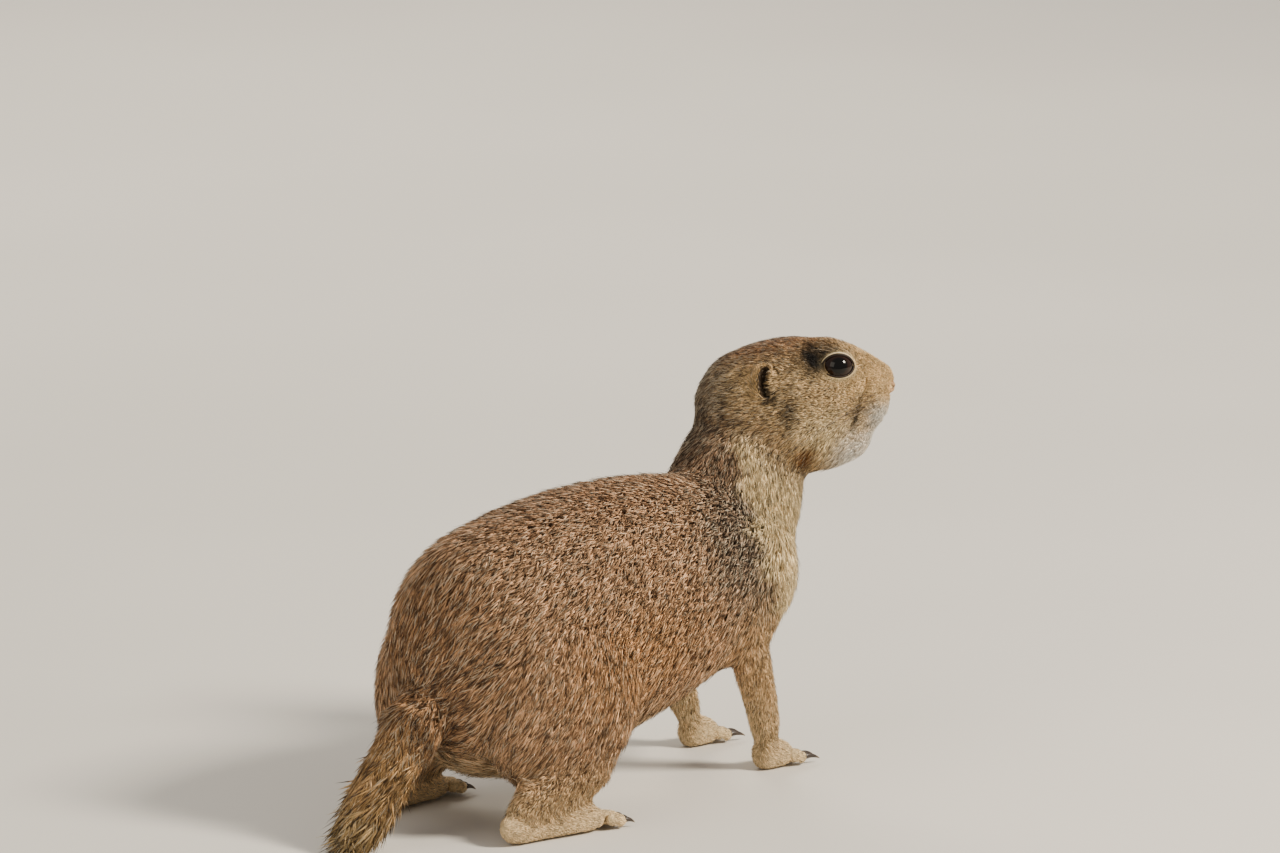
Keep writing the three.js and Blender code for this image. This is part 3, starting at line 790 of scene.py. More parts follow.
def solid_tree():
    """A search tree of every flesh solid, and the kind of part of each of its faces."""
    points, faces, kinds = [], [], []
    for name in [*FLESH, *HEAD_NODES]:
        mesh = frame["nodes"][name].data
        start = sum(len(group) for group in points)
        points.append(points_of(mesh))
        stem = name.removesuffix("_left").removesuffix("_right")
        kind = KINDS.index(stem if stem in REGIONS else "head")
        faces += [[start + corner for corner in face.vertices] for face in mesh.polygons]
        kinds += [kind] * len(mesh.polygons)
    return BVHTree.FromPolygons(np.concatenate(points).tolist(), faces), np.array(kinds)


def kinds_at(points):
    """Which kind of part each point lies nearest to."""
    tree, kinds = solid_tree()
    nearest = [tree.find_nearest(point)[2] for point in points.tolist()]
    return kinds[nearest]


def is_kind(kind, *names):
    """Where the kind of part is one of these."""
    return np.isin(kind, [KINDS.index(name) for name in names])


def of_region(kind, field):
    """What the table of regions says of each point."""
    return np.array([getattr(region, field) for region in REGIONS.values()], float)[kind]


def hair_lengths(kind, head, body):
    """Hair length in mm at each point: shortest on the muzzle and round the eyes, longest on the tail."""
    length = of_region(kind, "length")
    along = np.interp(head[:, 0], *HEAD_HAIR_MM)
    below = smoothstep(-7, -20, head[:, 2]) * smoothstep(44, 36, head[:, 0])
    _, share, _ = eye_coordinates(both_sides(head))
    by_eye = 0.4 + 0.6 * smoothstep(1, 2.2, share)
    length = np.where(is_kind(kind, "tail"), np.interp(body[:, 2], *TAIL_HAIR_MM), length)
    return np.where(is_kind(kind, "head"), (along + THROAT_HAIR_MM * below) * by_eye, length)


def coat_lie(kind, head, body, normals):
    """Unit direction of the hair at each point, along the surface."""
    lie = of_region(kind, "lie")
    folded = both_sides(head)
    from_nose = unit(head - NOSE_MM)
    front = smoothstep(40, 51, head[:, 0])[:, None]
    down = (smoothstep(-2, -16, head[:, 2]) * smoothstep(44, 30, head[:, 0]))[:, None]
    back = smoothstep(-8, -20, head[:, 0])[:, None]
    from_eye, share, _ = eye_coordinates(folded)
    from_eye[:, 1] *= np.sign(head[:, 1])
    round_eye = (smoothstep(2.2, 1.1, share) * 1.6)[:, None]
    head_lie = lie + front * (from_nose * 1.6) + down * np.array((0.1, 0, -1.3))
    head_lie += back * np.array((0.4, 0, -1)) + round_eye * unit(from_eye)
    lie = np.where(is_kind(kind, "head")[:, None], head_lie, lie)
    chest = (smoothstep(-20, 4, body[:, 0]) * is_kind(kind, "torso_front"))[:, None]
    lie = lie + chest * np.array((0.9, 0, -1))
    lie[:, 1] += is_kind(kind, "tail") * 0.4 * body[:, 1] / TAIL_HALF_WIDTH_MM
    world = np.where(is_kind(kind, "head", "ear")[:, None], turned("head", lie), lie)
    return unit(world - normals * np.sum(world * normals, axis=1, keepdims=True))


def patch_weight(patch, places):
    """How far each point takes a patch's colour: full in its middle, with a soft ragged edge."""
    here = both_sides(places[patch.where])
    ragged = 0.12 * np.sin(here @ (1.1, 0.9, 1.3)) + 0.1 * np.sin(here @ (-0.6, 1.7, 0.8) + 1)
    distance = ball_share(here, patch.centre, patch.reach) + ragged
    return patch.strength * np.exp(-np.maximum(distance, 0) ** 1.6)


def whisker_roots():
    """Places of the whiskers on the left pad, in the head's frame: four rows, longer whiskers behind."""
    roots = []
    for row in range(4):
        for place in range(4 - row % 2):
            roots.append((WHISKER_FRONT_MM - 2.1 * place - 0.7 * row, 12, 5.4 - 2.6 * row))
    return roots


def cream_front(kind, body, pairs):
    """Share of cream at each point: the front of the neck and chest, which turns with the head higher up."""
    turn = np.degrees(np.arctan2(body[:, 1], body[:, 0] - NECK_AXIS_MM))
    middle = np.interp(body[:, 2], (45, 110), (-15, math.degrees(HEAD_TURN)))
    ragged = 4 * np.sin(0.45 * body[:, 2]) + 4 * np.sin(1.1 * body[:, 2] + 0.4 * body[:, 1])
    off = np.abs((turn - middle + 180) % 360 - 180) + ragged
    on_front = is_kind(kind, "neck", "torso_front", "upper_arm").astype(float)
    on_front = blurred(on_front[:, None], pairs, rounds=8)
    edge = smoothstep(CREAM_HALF_TURN + 8, CREAM_HALF_TURN - 8, off)
    return edge * smoothstep(30, 48, body[:, 2]) * on_front[:, 0]


def markings_with_shade(kind, head, body, pairs, colours):
    """Colour and share of dark hairs at each point of the skin, with painted shade in the mouth, the crease
    behind the whisker pad, the ear hollow, the nape and a few small patches: the same for skin and coat.
    """
    base = np.array([getattr(colours, region.colour)[:] for region in REGIONS.values()])[kind]
    mixed = blurred(np.column_stack((base, of_region(kind, "grizzle"))), pairs, rounds=40)
    places = {"head": head, "body": body}
    near_head = smoothstep(-30, -24, head[:, 0]) * smoothstep(-34, -26, head[:, 2])
    for patch in PATCHES:
        weight = patch_weight(patch, places) * (near_head if patch.where == "head" else 1)
        target = np.array((*getattr(colours, patch.colour), patch.grizzle))
        mixed += weight[:, None] * (target - mixed)
    cream = cream_front(kind, body, pairs)[:, None]
    mixed += cream * (np.array((*colours.chest, 0.06)) - mixed)
    folded = both_sides(head)
    from_eye, share, out = eye_coordinates(folded)
    behind = smoothstep(0, -6, from_eye[:, 0])
    ring = 0.6 * bell(share - 1.22, 0.15) * (out > 0) * (1 - 0.9 * behind)
    # Painted shade along the mouth and in the crease behind the whisker pad; the whisker dots are the pad's
    # own dark spots
    mouth_shade = bell(path_distance(folded, MOUTH_MM), 0.75)
    crease = 0.85 * bell(path_distance(folded, PAD_CREASE_MM[1:]), 1.1)
    dots = np.zeros(len(head))
    for x, _, z in whisker_roots():
        dots = np.maximum(dots, bell(np.hypot(folded[:, 0] - x, folded[:, 2] - z), WHISKER_DOT_MM))
    dots *= (folded[:, 1] > 5) * 0.6
    # The ear hollow's near-black: painted shade over its dark skin
    hollow = ball_share(folded, EAR_HOLLOW_MM, EAR_HOLLOW_HALF_MM) < 1.12
    for weight, colour in (
        (ring * near_head, colours.lid),
        (np.maximum.reduce((mouth_shade, crease, dots)) * near_head, colours.brow),
        (hollow * near_head * 0.95, colours.hollow),
    ):
        mixed[:, :3] += weight[:, None] * (np.array(colour[:]) - mixed[:, :3])
    return mixed[:, :3], mixed[:, 3] * (1 - ring * near_head)


def bare_places(head, body):
    """Where no hair grows: the eye's opening, the nose pad, the mouth, the soles. 0 is bare, 1 is haired."""
    folded = both_sides(head)
    _, share, out = eye_coordinates(folded)
    eye = (share < 1.14) & (out > 0)
    nose = ball_share(head, NOSE_MM, np.array(NOSE_HALF_MM) + 0.1) < 1
    nose &= head[:, 2] < NOSE_TOP_MM
    mouth = path_distance(folded, MOUTH_MM) < 0.5
    sole = body[:, 2] < 1.2
    hollow = ball_share(folded, EAR_HOLLOW_MM, EAR_HOLLOW_HALF_MM) < 1.05
    haired = np.where(eye | nose | mouth | sole, 0.0, 1.0)
    return np.where(hollow, 0.12, haired)


# Skin

def solid_form(name):
    """A copy of one solid as a closed mesh."""
    mesh = frame["nodes"][name].data.copy()
    form = linked(f"form_{name}", mesh)
    edit(form, (bpy.ops.mesh.remove_doubles, {"threshold": 1e-6}))
    return form


def foot_form(foot, side, shift):
    """The sole of one foot, without its toes."""
    y = side * foot.out
    height = foot.height
    if foot is FOREFOOT:
        stations = (
            (foot.heel + shift, y, height, foot.width * 0.8, height * 1.05),
            (foot.heel + shift + foot.palm / 2, y, height * 0.9, foot.width, height * 0.98),
            (foot.heel + shift + foot.palm, y, height * 0.62, foot.width * 0.95, height * 0.72),
        )
    else:
        stations = (
            (foot.heel, y - side, height, foot.width * 0.68, height * 1.05),
            (foot.heel + foot.palm * 0.33, y, height * 0.95, foot.width * 0.78, height),
            (foot.heel + foot.palm * 0.7, y + side * 2, height * 0.78, foot.width * 0.98, height * 0.84),
            (foot.heel + foot.palm, y + side * 3.5, height * 0.58, foot.width * 0.95, height * 0.66),
        )
    return lofted("form_sole", "body", stations, rounding=(0.2, 0.25))


def each_toe(foot, side, shift):
    """Start, sideways place at a distance forwards, reach and claw length of each toe, in mm."""
    for i in range(foot.toes):
        place = i / (foot.toes - 1) - 0.5
        middle = 1 - abs(place) * 0.5
        start = foot.heel + foot.palm + shift - 4.5 - 3 * (1 - middle)
        centre = side * (foot.out + foot.front_shift)

        def at(forward, z, start=start, centre=centre, place=place):
            return (start + forward, centre + side * place * (1.6 * foot.width + 0.35 * forward), z)

        yield at, foot.toe * middle, foot.claw * (0.8 + 0.2 * middle)


def feet():
    """Each foot with its side's name, its side, and how far it stands ahead."""
    for name, side in SIDES.items():
        yield f"forefoot_{name}", FOREFOOT, side, LEFT_STEP_MM if side > 0 else 0
        yield f"hindfoot_{name}", HINDFOOT, side, 0


def toe_forms():
    """Every toe: a knuckle, a waist and a round end."""
    forms = []
    for _, foot, side, shift in feet():
        for at, reach, _ in each_toe(foot, side, shift):
            stations = (
                (*at(0, 3.5), 1.9, 2.5),
                (*at(reach * 0.35, 4.1), 2, 2.6),
                (*at(reach * 0.65, 3.7), 1.75, 2.3),
                (*at(reach * 0.95, 2.9), 1.95, 2.5),
                (*at(reach + 1.7, 2.3), 1.3, 1.8),
            )
            forms.append(lofted("form_toe", "body", stations, 20, 18, (0.2, 0.3)))
    return forms


def refine(obj, chosen, cuts):
    """Divides the chosen faces of a mesh."""
    make_active(obj)
    bpy.ops.object.mode_set(mode="EDIT")
    bpy.ops.mesh.select_mode(type="FACE")
    bpy.ops.mesh.select_all(action="DESELECT")
    shape = bmesh.from_edit_mesh(obj.data)
    for face, take in zip(shape.faces, chosen):
        face.select_set(bool(take))
    bmesh.update_edit_mesh(obj.data)
    bpy.ops.mesh.subdivide(number_cuts=cuts)
    bpy.ops.object.mode_set(mode="OBJECT")


def keep_outer_surface(obj):
    """Drops any sealed pocket that the remesh left inside."""
    make_active(obj)
    bpy.ops.object.mode_set(mode="EDIT")
    bpy.ops.mesh.select_mode(type="VERT")
    bpy.ops.mesh.select_all(action="DESELECT")
    shape = bmesh.from_edit_mesh(obj.data)
    max(shape.verts, key=lambda vertex: vertex.co.z).select_set(True)
    bmesh.update_edit_mesh(obj.data)
    bpy.ops.mesh.select_linked()
    bpy.ops.mesh.select_all(action="INVERT")
    bpy.ops.mesh.delete(type="VERT")
    bpy.ops.object.mode_set(mode="OBJECT")


def body_skin():
    """One closed surface over the flesh solids, with their facets smoothed away."""
    copied = [name for name in FLESH if not name.startswith(REMADE)]
    forms = [solid_form(name) for name in [*copied, *HEAD_NODES]]
    forms.append(lofted("form_tail", "body", TAIL_CORE_MM))
    forms += [foot_form(foot, side, shift) for _, foot, side, shift in feet()]
    for side in SIDES.values():
        x, y, z = EAR_MM
        forms.append(ball_form("form_ear", "head", (x, side * y, z), EAR_HALF_MM))
    forms.append(ball_form("form_snout", "head", *SNOUT_MM))
    skin = joined(forms, "skin")
    apply_modifier(skin, "DISPLACE", strength=GROWTH, mid_level=0)
    apply_modifier(skin, "REMESH", mode="VOXEL", voxel_size=VOXEL)
    keep_outer_surface(skin)
    smooth_shape(skin.data, of_region(kinds_at(points_of(skin.data)), "smoothing"), rounds=160)
    move_points(skin.data, points_of(skin.data) - points_of(skin.data, "normal") * GROWTH)
    return skin


def open_eyes(head):
    """Sinks the skin behind each eye's opening, and lays the lids round it on the ball."""
    folded = both_sides(head)
    from_eye, share, out = eye_coordinates(folded)
    distance = np.linalg.norm(from_eye, axis=1)
    near = (out > -3) & (distance < EYE_RADIUS_MM + 6)
    inside = near & (share < LID_LINE)
    around = near & (share >= LID_LINE) & (share < ORBIT_EDGE)
    on_ball = EYE_RADIUS_MM + OVER_BALL_MM
    on_lid = on_ball + (np.maximum(distance, on_ball) - on_ball) * smoothstep(LID_LINE, ORBIT_EDGE, share)
    radius = np.where(inside, EYE_RADIUS_MM - UNDER_BALL_MM, np.where(around, on_lid, distance))
    moved = EYE_MM + from_eye * (radius / np.maximum(distance, 1e-6))[:, None]
    moved[:, 1] *= np.where(head[:, 1] < 0, -1, 1)
    return np.where((inside | around)[:, None], moved, head)


def open_ears(head):
    """Presses the hollow into each ear, from its rim to its floor."""
    folded = both_sides(head)
    share = (folded - EAR_HOLLOW_MM) / EAR_HOLLOW_HALF_MM
    across = share[:, 0] ** 2 + share[:, 2] ** 2
    floor = EAR_HOLLOW_MM[1] - EAR_HOLLOW_HALF_MM[1] * np.sqrt(np.maximum(0, 1 - across))
    inside = (np.sum(share**2, axis=1) < 1) | ((across < 1) & (folded[:, 1] > EAR_HOLLOW_MM[1]))
    folded[:, 1] = np.where(inside, np.minimum(folded[:, 1], floor), folded[:, 1])
    folded[:, 1] *= np.where(head[:, 1] < 0, -1, 1)
    return np.where(inside[:, None], folded, head)


def fold_depth(head):
    """How far the skin sinks, in mm, in the mouth, behind the whisker pad and below the nose."""
    folded = both_sides(head)
    mouth = path_distance(folded, MOUTH_MM)
    lips = 1.3 * bell(mouth, 0.7) - 0.35 * bell(mouth - 1.8, 0.9)
    crease = 1.1 * bell(path_distance(folded, PAD_CREASE_MM), 1.1)
    pad = -0.7 * bell(np.linalg.norm(folded - PAD_MM, axis=1), 4)
    groove = 0.6 * bell(path_distance(head, LIP_GROOVE_MM), 0.55)
    return lips + crease + groove + pad


def sink_depth(kind, length):
    """How deep the skin lies below the tips of its hair, in mm."""
    depth = SINK_SHARE * length + 0.1
    for name, fixed in SINK_FIXED_MM.items():
        depth = np.where(is_kind(kind, name), fixed, depth)
    return depth


def make_skin(settings):
    """The whole skin, its folds, its unwrap, and its marks with their painted shade."""
    skin = body_skin()
    middles = seen_from("head", read(skin.data.polygons, "center", 3))
    in_face = (middles[:, 0] > FACE_BACK_MM) & (middles[:, 2] > -26) & (np.abs(middles[:, 1]) < 24)
    by_ear = np.linalg.norm(both_sides(middles) - EAR_MM, axis=1) < 10
    refine(skin, in_face | by_ear, 3)
    head = seen_from("head", points_of(skin.data))
    fine = (head[:, 0] > FACE_BACK_MM - 2) | (np.linalg.norm(both_sides(head) - EAR_MM, axis=1) < 12)
    smooth_shape(skin.data, fine * 0.9, rounds=12)
    skin = joined([skin, *toe_forms()], "skin")

    mesh = skin.data
    points = points_of(mesh)
    head = seen_from("head", points)
    kind = kinds_at(points)
    pairs = edges_of(mesh)
    sink = sink_depth(kind, hair_lengths(kind, head, seen_from("body", points)))[:, None]
    sink = blurred(sink, pairs, rounds=12)
    on_face = is_kind(kind, "head")[:, None]
    depth = sink + on_face * fold_depth(head)[:, None]
    points -= points_of(mesh, "normal") * depth * MM
    head = open_ears(open_eyes(seen_from("head", points)))
    points = np.where(is_kind(kind, "head", "ear")[:, None], placed("head", head), points)
    points[:, 2] = np.maximum(points[:, 2], 0.3 * MM)
    move_points(mesh, points)

    edit(skin, (bpy.ops.uv.smart_project, {"angle_limit": math.radians(60), "island_margin": 0.001}))
    mesh.uv_layers[0].name = "OFBake"
    head, body = seen_from("head", points), seen_from("body", points)
    # The marks' colours carry painted shade too: mouth, whisker-pad crease, ear hollow, cheek, nape, below
    # the ear
    marking, grizzle = markings_with_shade(kind, head, body, pairs, settings.colours)
    set_attribute(mesh, "marking", marking)
    set_attribute(mesh, "grizzle", grizzle)
    set_attribute(mesh, "kind", kind.astype(float))
    mesh.calc_loop_triangles()
    if len(mesh.loop_triangles) > MOST_TRIANGLES:
        raise RuntimeError(f"the skin has {len(mesh.loop_triangles)} triangles")
    return finish_piece(skin, skin_material(), "coat", *FLESH)


# Coat

Surface = namedtuple("Surface", "points normals lie length rise marking grizzle haired kind head")


def skin_surface(mesh, coat):
    """What the coat needs to know at each vertex of the skin."""
    points = points_of(mesh)
    normals = points_of(mesh, "normal")
    head, body = seen_from("head", points), seen_from("body", points)
    kind, grizzle = (read(mesh.attributes[name].data, "value")[:, 0] for name in ("kind", "grizzle"))
    kind = kind.astype(int)
    pairs = edges_of(mesh)
    lie = coat_lie(kind, head, body, normals)
    length = hair_lengths(kind, head, body)[:, None]
    rise = sink_depth(kind, length[:, 0])
    tail_rise = np.interp(body[:, 2], *TAIL_RISE_MM)
    rise = np.where(is_kind(kind, "tail"), tail_rise, np.maximum(rise, LEAST_RISE_MM))[:, None]
    lie, length, rise = (blurred(values, pairs, rounds=16) for values in (lie, length, rise))
    lie = unit(lie - normals * np.sum(lie * normals, axis=1, keepdims=True))
    return Surface(
        points,
        normals,
        lie,
        length[:, 0] * coat.length,
        rise[:, 0],
        read(mesh.attributes["marking"].data, "color", 4)[:, :3].astype(float),
        grizzle.astype(float),
        bare_places(head, body),
        kind,
        head,
    )


def triangles_of(mesh):
    """Corner vertices, corner loops and area of each triangle."""
    mesh.calc_loop_triangles()
    corners, loops = (read(mesh.loop_triangles, field, 3, np.int32) for field in ("vertices", "loops"))
    return corners, loops, read(mesh.loop_triangles, "area")[:, 0]


def make_tufts(name, roots, rng, coat, tree, material):
    """Closed flat tufts, each rooted in the skin, widest before its middle, its tip laid along the body."""
    count = len(roots["point"])
    normal, lie, length = unit(roots["normal"]), roots["lie"], roots["length"]
    guard = rng.random(count) < coat.guard
    wave = np.sin(roots["point"] @ (900, 700, -500)) + np.sin(roots["point"] @ (-400, 1100, 800) + 2)
    turn = (rng.normal(0, coat.stray, count) + 0.14 * wave)[:, None]
    across = np.cross(normal, lie)
    lie = lie * np.cos(turn) + across * np.sin(turn)
    across = np.cross(normal, lie)
    length = length * rng.uniform(0.75, 1.15, count) * np.where(guard, 1.3, 1) * MM
    rise = roots["rise"] * rng.uniform(0.6, 1.15, count) * np.where(guard, 1.25, 1) * MM
    least, more = TUFT_HALF_WIDTH_MM
    half = (least + more * roots["length"]) * rng.uniform(0.7, 1.3, count) * coat.thickness * MM
    half *= np.where(guard, 0.75, 1)

    reach = roots["point"] + lie * length[:, None]
    tip = reach + normal * rise[:, None]
    for i in np.flatnonzero(~is_kind(roots["kind"], "tail")):
        place, turned_normal, _, gap = tree.find_nearest(reach[i])
        if place is not None and gap < length[i]:
            tip[i] = np.array(place) + np.array(turned_normal) * rise[i]
    root = roots["point"] - normal * ROOT_DEPTH_MM * MM
    middle = roots["point"] * (1 - TUFT_MIDDLE) + (tip - normal * rise[:, None]) * TUFT_MIDDLE
    middle += normal * (rise * 0.62)[:, None]
    spread = across * half[:, None]
    ridge = normal * (half * 0.7)[:, None]
    points = np.stack((root, middle + spread, middle + ridge, middle - spread, tip), axis=1).reshape(-1, 3)
    points[:, 2] = np.maximum(points[:, 2], 0.2 * MM)

    pattern = np.array(((1, 2, 4), (2, 3, 4), (3, 1, 4), (2, 1, 0), (3, 2, 0), (1, 3, 0)), np.int32)
    corners = (pattern[None] + 5 * np.arange(count, dtype=np.int32)[:, None, None]).ravel()
    mesh = bpy.data.meshes.new(name)
    mesh.vertices.add(len(points))
    mesh.vertices.foreach_set("co", points.astype(np.float32).ravel())
    mesh.loops.add(len(corners))
    mesh.loops.foreach_set("vertex_index", corners)
    mesh.polygons.add(len(corners) // 3)
    mesh.polygons.foreach_set("loop_start", np.arange(0, len(corners), 3, dtype=np.int32))
    mesh.update(calc_edges=True)

    corner_shift = np.array(((0, -1), (1, 0), (0, 0), (-1, 0), (0, 1))) * OFBAKE_PATCH / 2
    places = np.clip(roots["uv"][:, None] + corner_shift[None], 0, 1).reshape(-1, 2)
    unwrap = mesh.uv_layers.new(name="OFBake")
    unwrap.data.foreach_set("uv", places[corners].astype(np.float32).ravel())
    strand = np.where(guard, 0.02, rng.random(count))
    set_attribute(mesh, "marking", np.repeat(roots["marking"], 5, axis=0))
    set_attribute(mesh, "grizzle", np.repeat(roots["grizzle"], 5))
    set_attribute(mesh, "strand", np.repeat(strand, 5))
    set_attribute(mesh, "along", np.tile((0, TUFT_ARC, TUFT_ARC, TUFT_ARC, 1), count))
    return finish_piece(linked(name, mesh), material, "coat")


def make_coat(settings):
    """Every coat piece, its tufts drawn over the skin by area, denser where the hair is shorter."""
    mesh = bpy.data.objects["skin"].data
    coat = settings.coat
    surface = skin_surface(mesh, coat)
    corners, loops, area = triangles_of(mesh)
    unwrap = read(mesh.uv_layers["OFBake"].data, "uv", 2)
    tree = BVHTree.FromPolygons(surface.points.tolist(), corners.tolist())
    rng = np.random.default_rng(coat.seed)
    material = coat_material(settings.colours)
    kind = surface.kind[corners[:, 0]]
    ahead = surface.head[corners[:, 0], 0] > FACE_BACK_MM - 1
    weight = area * surface.haired[corners].mean(axis=1) / surface.length[corners].mean(axis=1)
    for piece in COATS:
        here = is_kind(kind, *piece.kinds)
        if piece.ahead is not None:
            here &= ahead == piece.ahead
        share = np.where(here, weight, 0)
        chosen = rng.choice(len(area), piece.tufts, p=share / share.sum())
        place = rng.random((piece.tufts, 2))
        place = np.where(place.sum(axis=1, keepdims=True) > 1, 1 - place, place)
        blend = np.column_stack((1 - place.sum(axis=1), place))[:, :, None]

        def at(values, chosen=chosen, blend=blend):
            picked = values[corners[chosen]]
            return np.sum(picked.reshape(*picked.shape[:2], -1) * blend, axis=1)

        roots = {
            "point": at(surface.points),
            "normal": at(surface.normals),
            "lie": unit(at(surface.lie)),
            "length": at(surface.length)[:, 0],
            "rise": at(surface.rise)[:, 0],
            "marking": at(surface.marking),
            "grizzle": at(surface.grizzle)[:, 0],
            "kind": kind[chosen],
            "uv": np.sum(unwrap[loops[chosen]] * blend, axis=1),
        }
        make_tufts(piece.name, roots, rng, coat, tree, material)


# Eyes, lids and nose

def eye_matrix(side):
    """From an eye's own axes in mm, with z out of the head, to the scene."""
    out = Vector((EYE_AXIS[0], side * EYE_AXIS[1], EYE_AXIS[2])).normalized()
    along = Vector((0, 0, 1)).cross(out).normalized()
    turn = Matrix((along, out.cross(along), out)).transposed().to_4x4()
    x, y, z = EYE_MM
    return FRAMES["head"] @ Matrix.Translation((x, side * y, z)) @ turn


def make_eye(name, side):
    """An eyeball with a cornea that stands a little out of it."""
    eye = new_ball(f"eyeball_{name}", 96, 64, EYE_RADIUS_MM)
    points = points_of(eye.data)
    angle = np.arccos(np.clip(points[:, 2] / EYE_RADIUS_MM, -1, 1))
    bulge = 1 + CORNEA_BULGE * smoothstep(0.95, 0.2, angle)
    points *= bulge[:, None]
    move_points(eye.data, through_matrix(eye_matrix(side), points))
    set_attribute(eye.data, "from_axis", angle)
    return eye


def make_lid(side):
    """Both lids of one eye: a ring laid on the ball, heavier above, drawn out to the eye's corners."""
    deselect_all()
    ring_radius = 3
    bpy.ops.mesh.primitive_torus_add(
        major_segments=112, minor_segments=20, major_radius=ring_radius, minor_radius=1
    )
    ring = bpy.context.object
    points = points_of(ring.data)
    turn = np.arctan2(points[:, 1], points[:, 0])
    outward = np.hypot(points[:, 0], points[:, 1]) - ring_radius
    height = points[:, 2]
    upper = np.clip(np.sin(turn), 0, 1)
    corner = np.abs(np.cos(turn)) ** 10
    half_width = LID_HALF_MM[0] + 0.14 * upper + 0.3 * corner
    half_height = LID_HALF_MM[1] + 0.16 * upper
    length, width = EYE_OPENING_MM
    reach_x = (length + 0.25) * np.cos(turn) * (1 + 0.03 * corner)
    reach_y = (width + 0.3) * np.sin(turn)
    reach = np.minimum(np.hypot(reach_x, reach_y), EYE_RADIUS_MM * 0.97)
    angle = np.arcsin(reach / EYE_RADIUS_MM) + outward * half_width / EYE_RADIUS_MM
    radius = EYE_RADIUS_MM + 0.22 + height * half_height
    heading = np.arctan2(reach_y, reach_x)
    laid = np.column_stack((np.sin(angle) * np.cos(heading), np.sin(angle) * np.sin(heading), np.cos(angle)))
    set_attribute(ring.data, "inner", np.clip(-outward, 0, 1))
    move_points(ring.data, through_matrix(eye_matrix(side), laid * radius[:, None]))
    return ring


def make_nose(settings):
    """The nose pad: two low lobes with a groove between them, and a comma-shaped nostril in each."""
    nose = ball_form("nose_pad", "head", NOSE_MM, NOSE_HALF_MM, 128, 96)
    points = seen_from("head", points_of(nose.data))
    folded = both_sides(points)
    outward = unit((points - NOSE_MM) / np.array(NOSE_HALF_MM) ** 2)
    from_nostril = path_distance(folded, NOSTRIL_MM)
    nostril = bell(from_nostril, 0.75)
    rim = bell(from_nostril - 1.2, 0.5)
    groove = bell(points[:, 1], 0.4) * (points[:, 0] > NOSE_MM[0])
    shift = -1.7 * nostril + 0.22 * rim - 0.35 * groove
    move_points(nose.data, placed("head", points + outward * shift[:, None]))
    # How far into a nostril: where the nose is painted near-black as shade
    set_attribute(nose.data, "inside", smoothstep(0.2, 0.6, nostril))
    return finish_piece(nose, nose_material(settings.colours), "nose", "nose")


# Claws and whiskers

def claw_model():
    """One claw along +X in mm, its root at the origin: a circle extruded along its curve to a blunt point."""
    shares = (0.2, 0.4, 0.6, 0.78, 0.92, 1)
    sizes = (1, 0.97, 0.88, 0.72, 0.5, 0.27, 0.1)
    length = FOREFOOT.claw
    deselect_all()
    bpy.ops.mesh.primitive_circle_add(vertices=14, radius=1.1, fill_type="NGON", rotation=(0, math.pi / 2, 0))
    claw = bpy.context.object
    bpy.ops.object.transform_apply(rotation=True)
    bpy.ops.object.mode_set(mode="EDIT")
    bpy.ops.mesh.select_all(action="SELECT")
    bpy.ops.transform.resize(value=(1, 0.85, 1.05), center_override=(0, 0, 0))
    here = Vector((0, 0, 0))
    for i, share in enumerate(shares):
        there = Vector((length * share, 0, 1.2 * share - 3 * share**2.2))
        bpy.ops.mesh.extrude_region_move(TRANSFORM_OT_translate={"value": there - here})
        scale = sizes[i + 1] / sizes[i]
        bpy.ops.transform.resize(value=(1, scale, scale), center_override=there)
        here = there
    bpy.ops.mesh.select_all(action="SELECT")
    bpy.ops.mesh.normals_make_consistent(inside=False)
    bpy.ops.object.mode_set(mode="OBJECT")
    apply_modifier(claw, "SUBSURF", levels=1, render_levels=1)
    set_attribute(claw.data, "along", np.clip(points_of(claw.data)[:, 0] / length, 0, 1))
    return claw


def make_claws(settings):
    """The claws of each foot, copied from one and turned with their toes."""
    model = claw_model()
    material = claw_material(settings.colours)
    for name, foot, side, shift in feet():
        copies = []
        for at, reach, length in each_toe(foot, side, shift):
            root, ahead = Vector(at(reach + 0.4, 3.1)), Vector(at(reach + 1.4, 3.1))
            turn = Matrix.Rotation(math.atan2(ahead.y - root.y, ahead.x - root.x), 4, "Z")
            size = Matrix.Diagonal(((length - 0.9) / FOREFOOT.claw, 0.95, 0.9, 1))
            mesh = model.data.copy()
            mesh.transform(FRAMES["body"] @ Matrix.Translation(root) @ turn @ size)
            copies.append(linked("claw", mesh))
        finish_piece(joined(copies, f"claws_{name}"), material, "paw")
    bpy.data.objects.remove(model)


def whisker_paths(rng):
    """Points of each whisker in the scene: rooted on the pad or brow, bending back and down."""
    mesh = bpy.data.objects["skin"].data
    tree = BVHTree.FromPolygons(points_of(mesh).tolist(), [list(face.vertices) for face in mesh.polygons])
    places = [
        (root, 13 + 3.2 * (WHISKER_FRONT_MM - root[0]), (-0.75, 0.85, -0.15)) for root in whisker_roots()
    ]
    places += [((30 + 2 * i, 13, 23), 9 + i, (-0.9, 0.6, 0.35)) for i in range(2)]
    places += [((22 + 3 * i, 22, -6 - i), 14, (-0.8, 0.7, -0.3)) for i in range(2)]
    paths = []
    for side in SIDES.values():
        for (x, y, z), length, (back, out, up) in places:
            start = placed("head", np.array((x, side * y, z)))
            root, normal, _, _ = tree.find_nearest(start)
            heading = turned("head", np.array((back, side * out, up)) + rng.normal(0, 0.12, 3))
            heading = unit(heading + 0.35 * np.array(normal))
            length *= rng.uniform(0.85, 1.1) * MM
            shares = np.linspace(0, 1, 10)[:, None]
            droop = np.array((0, 0, -0.22)) + turned("head", np.array((-0.18, 0, 0)))
            start = np.array(root) - np.array(normal) * WHISKER_DEPTH_MM * MM
            paths.append(start + length * (heading * shares + droop * shares**2))
    return paths


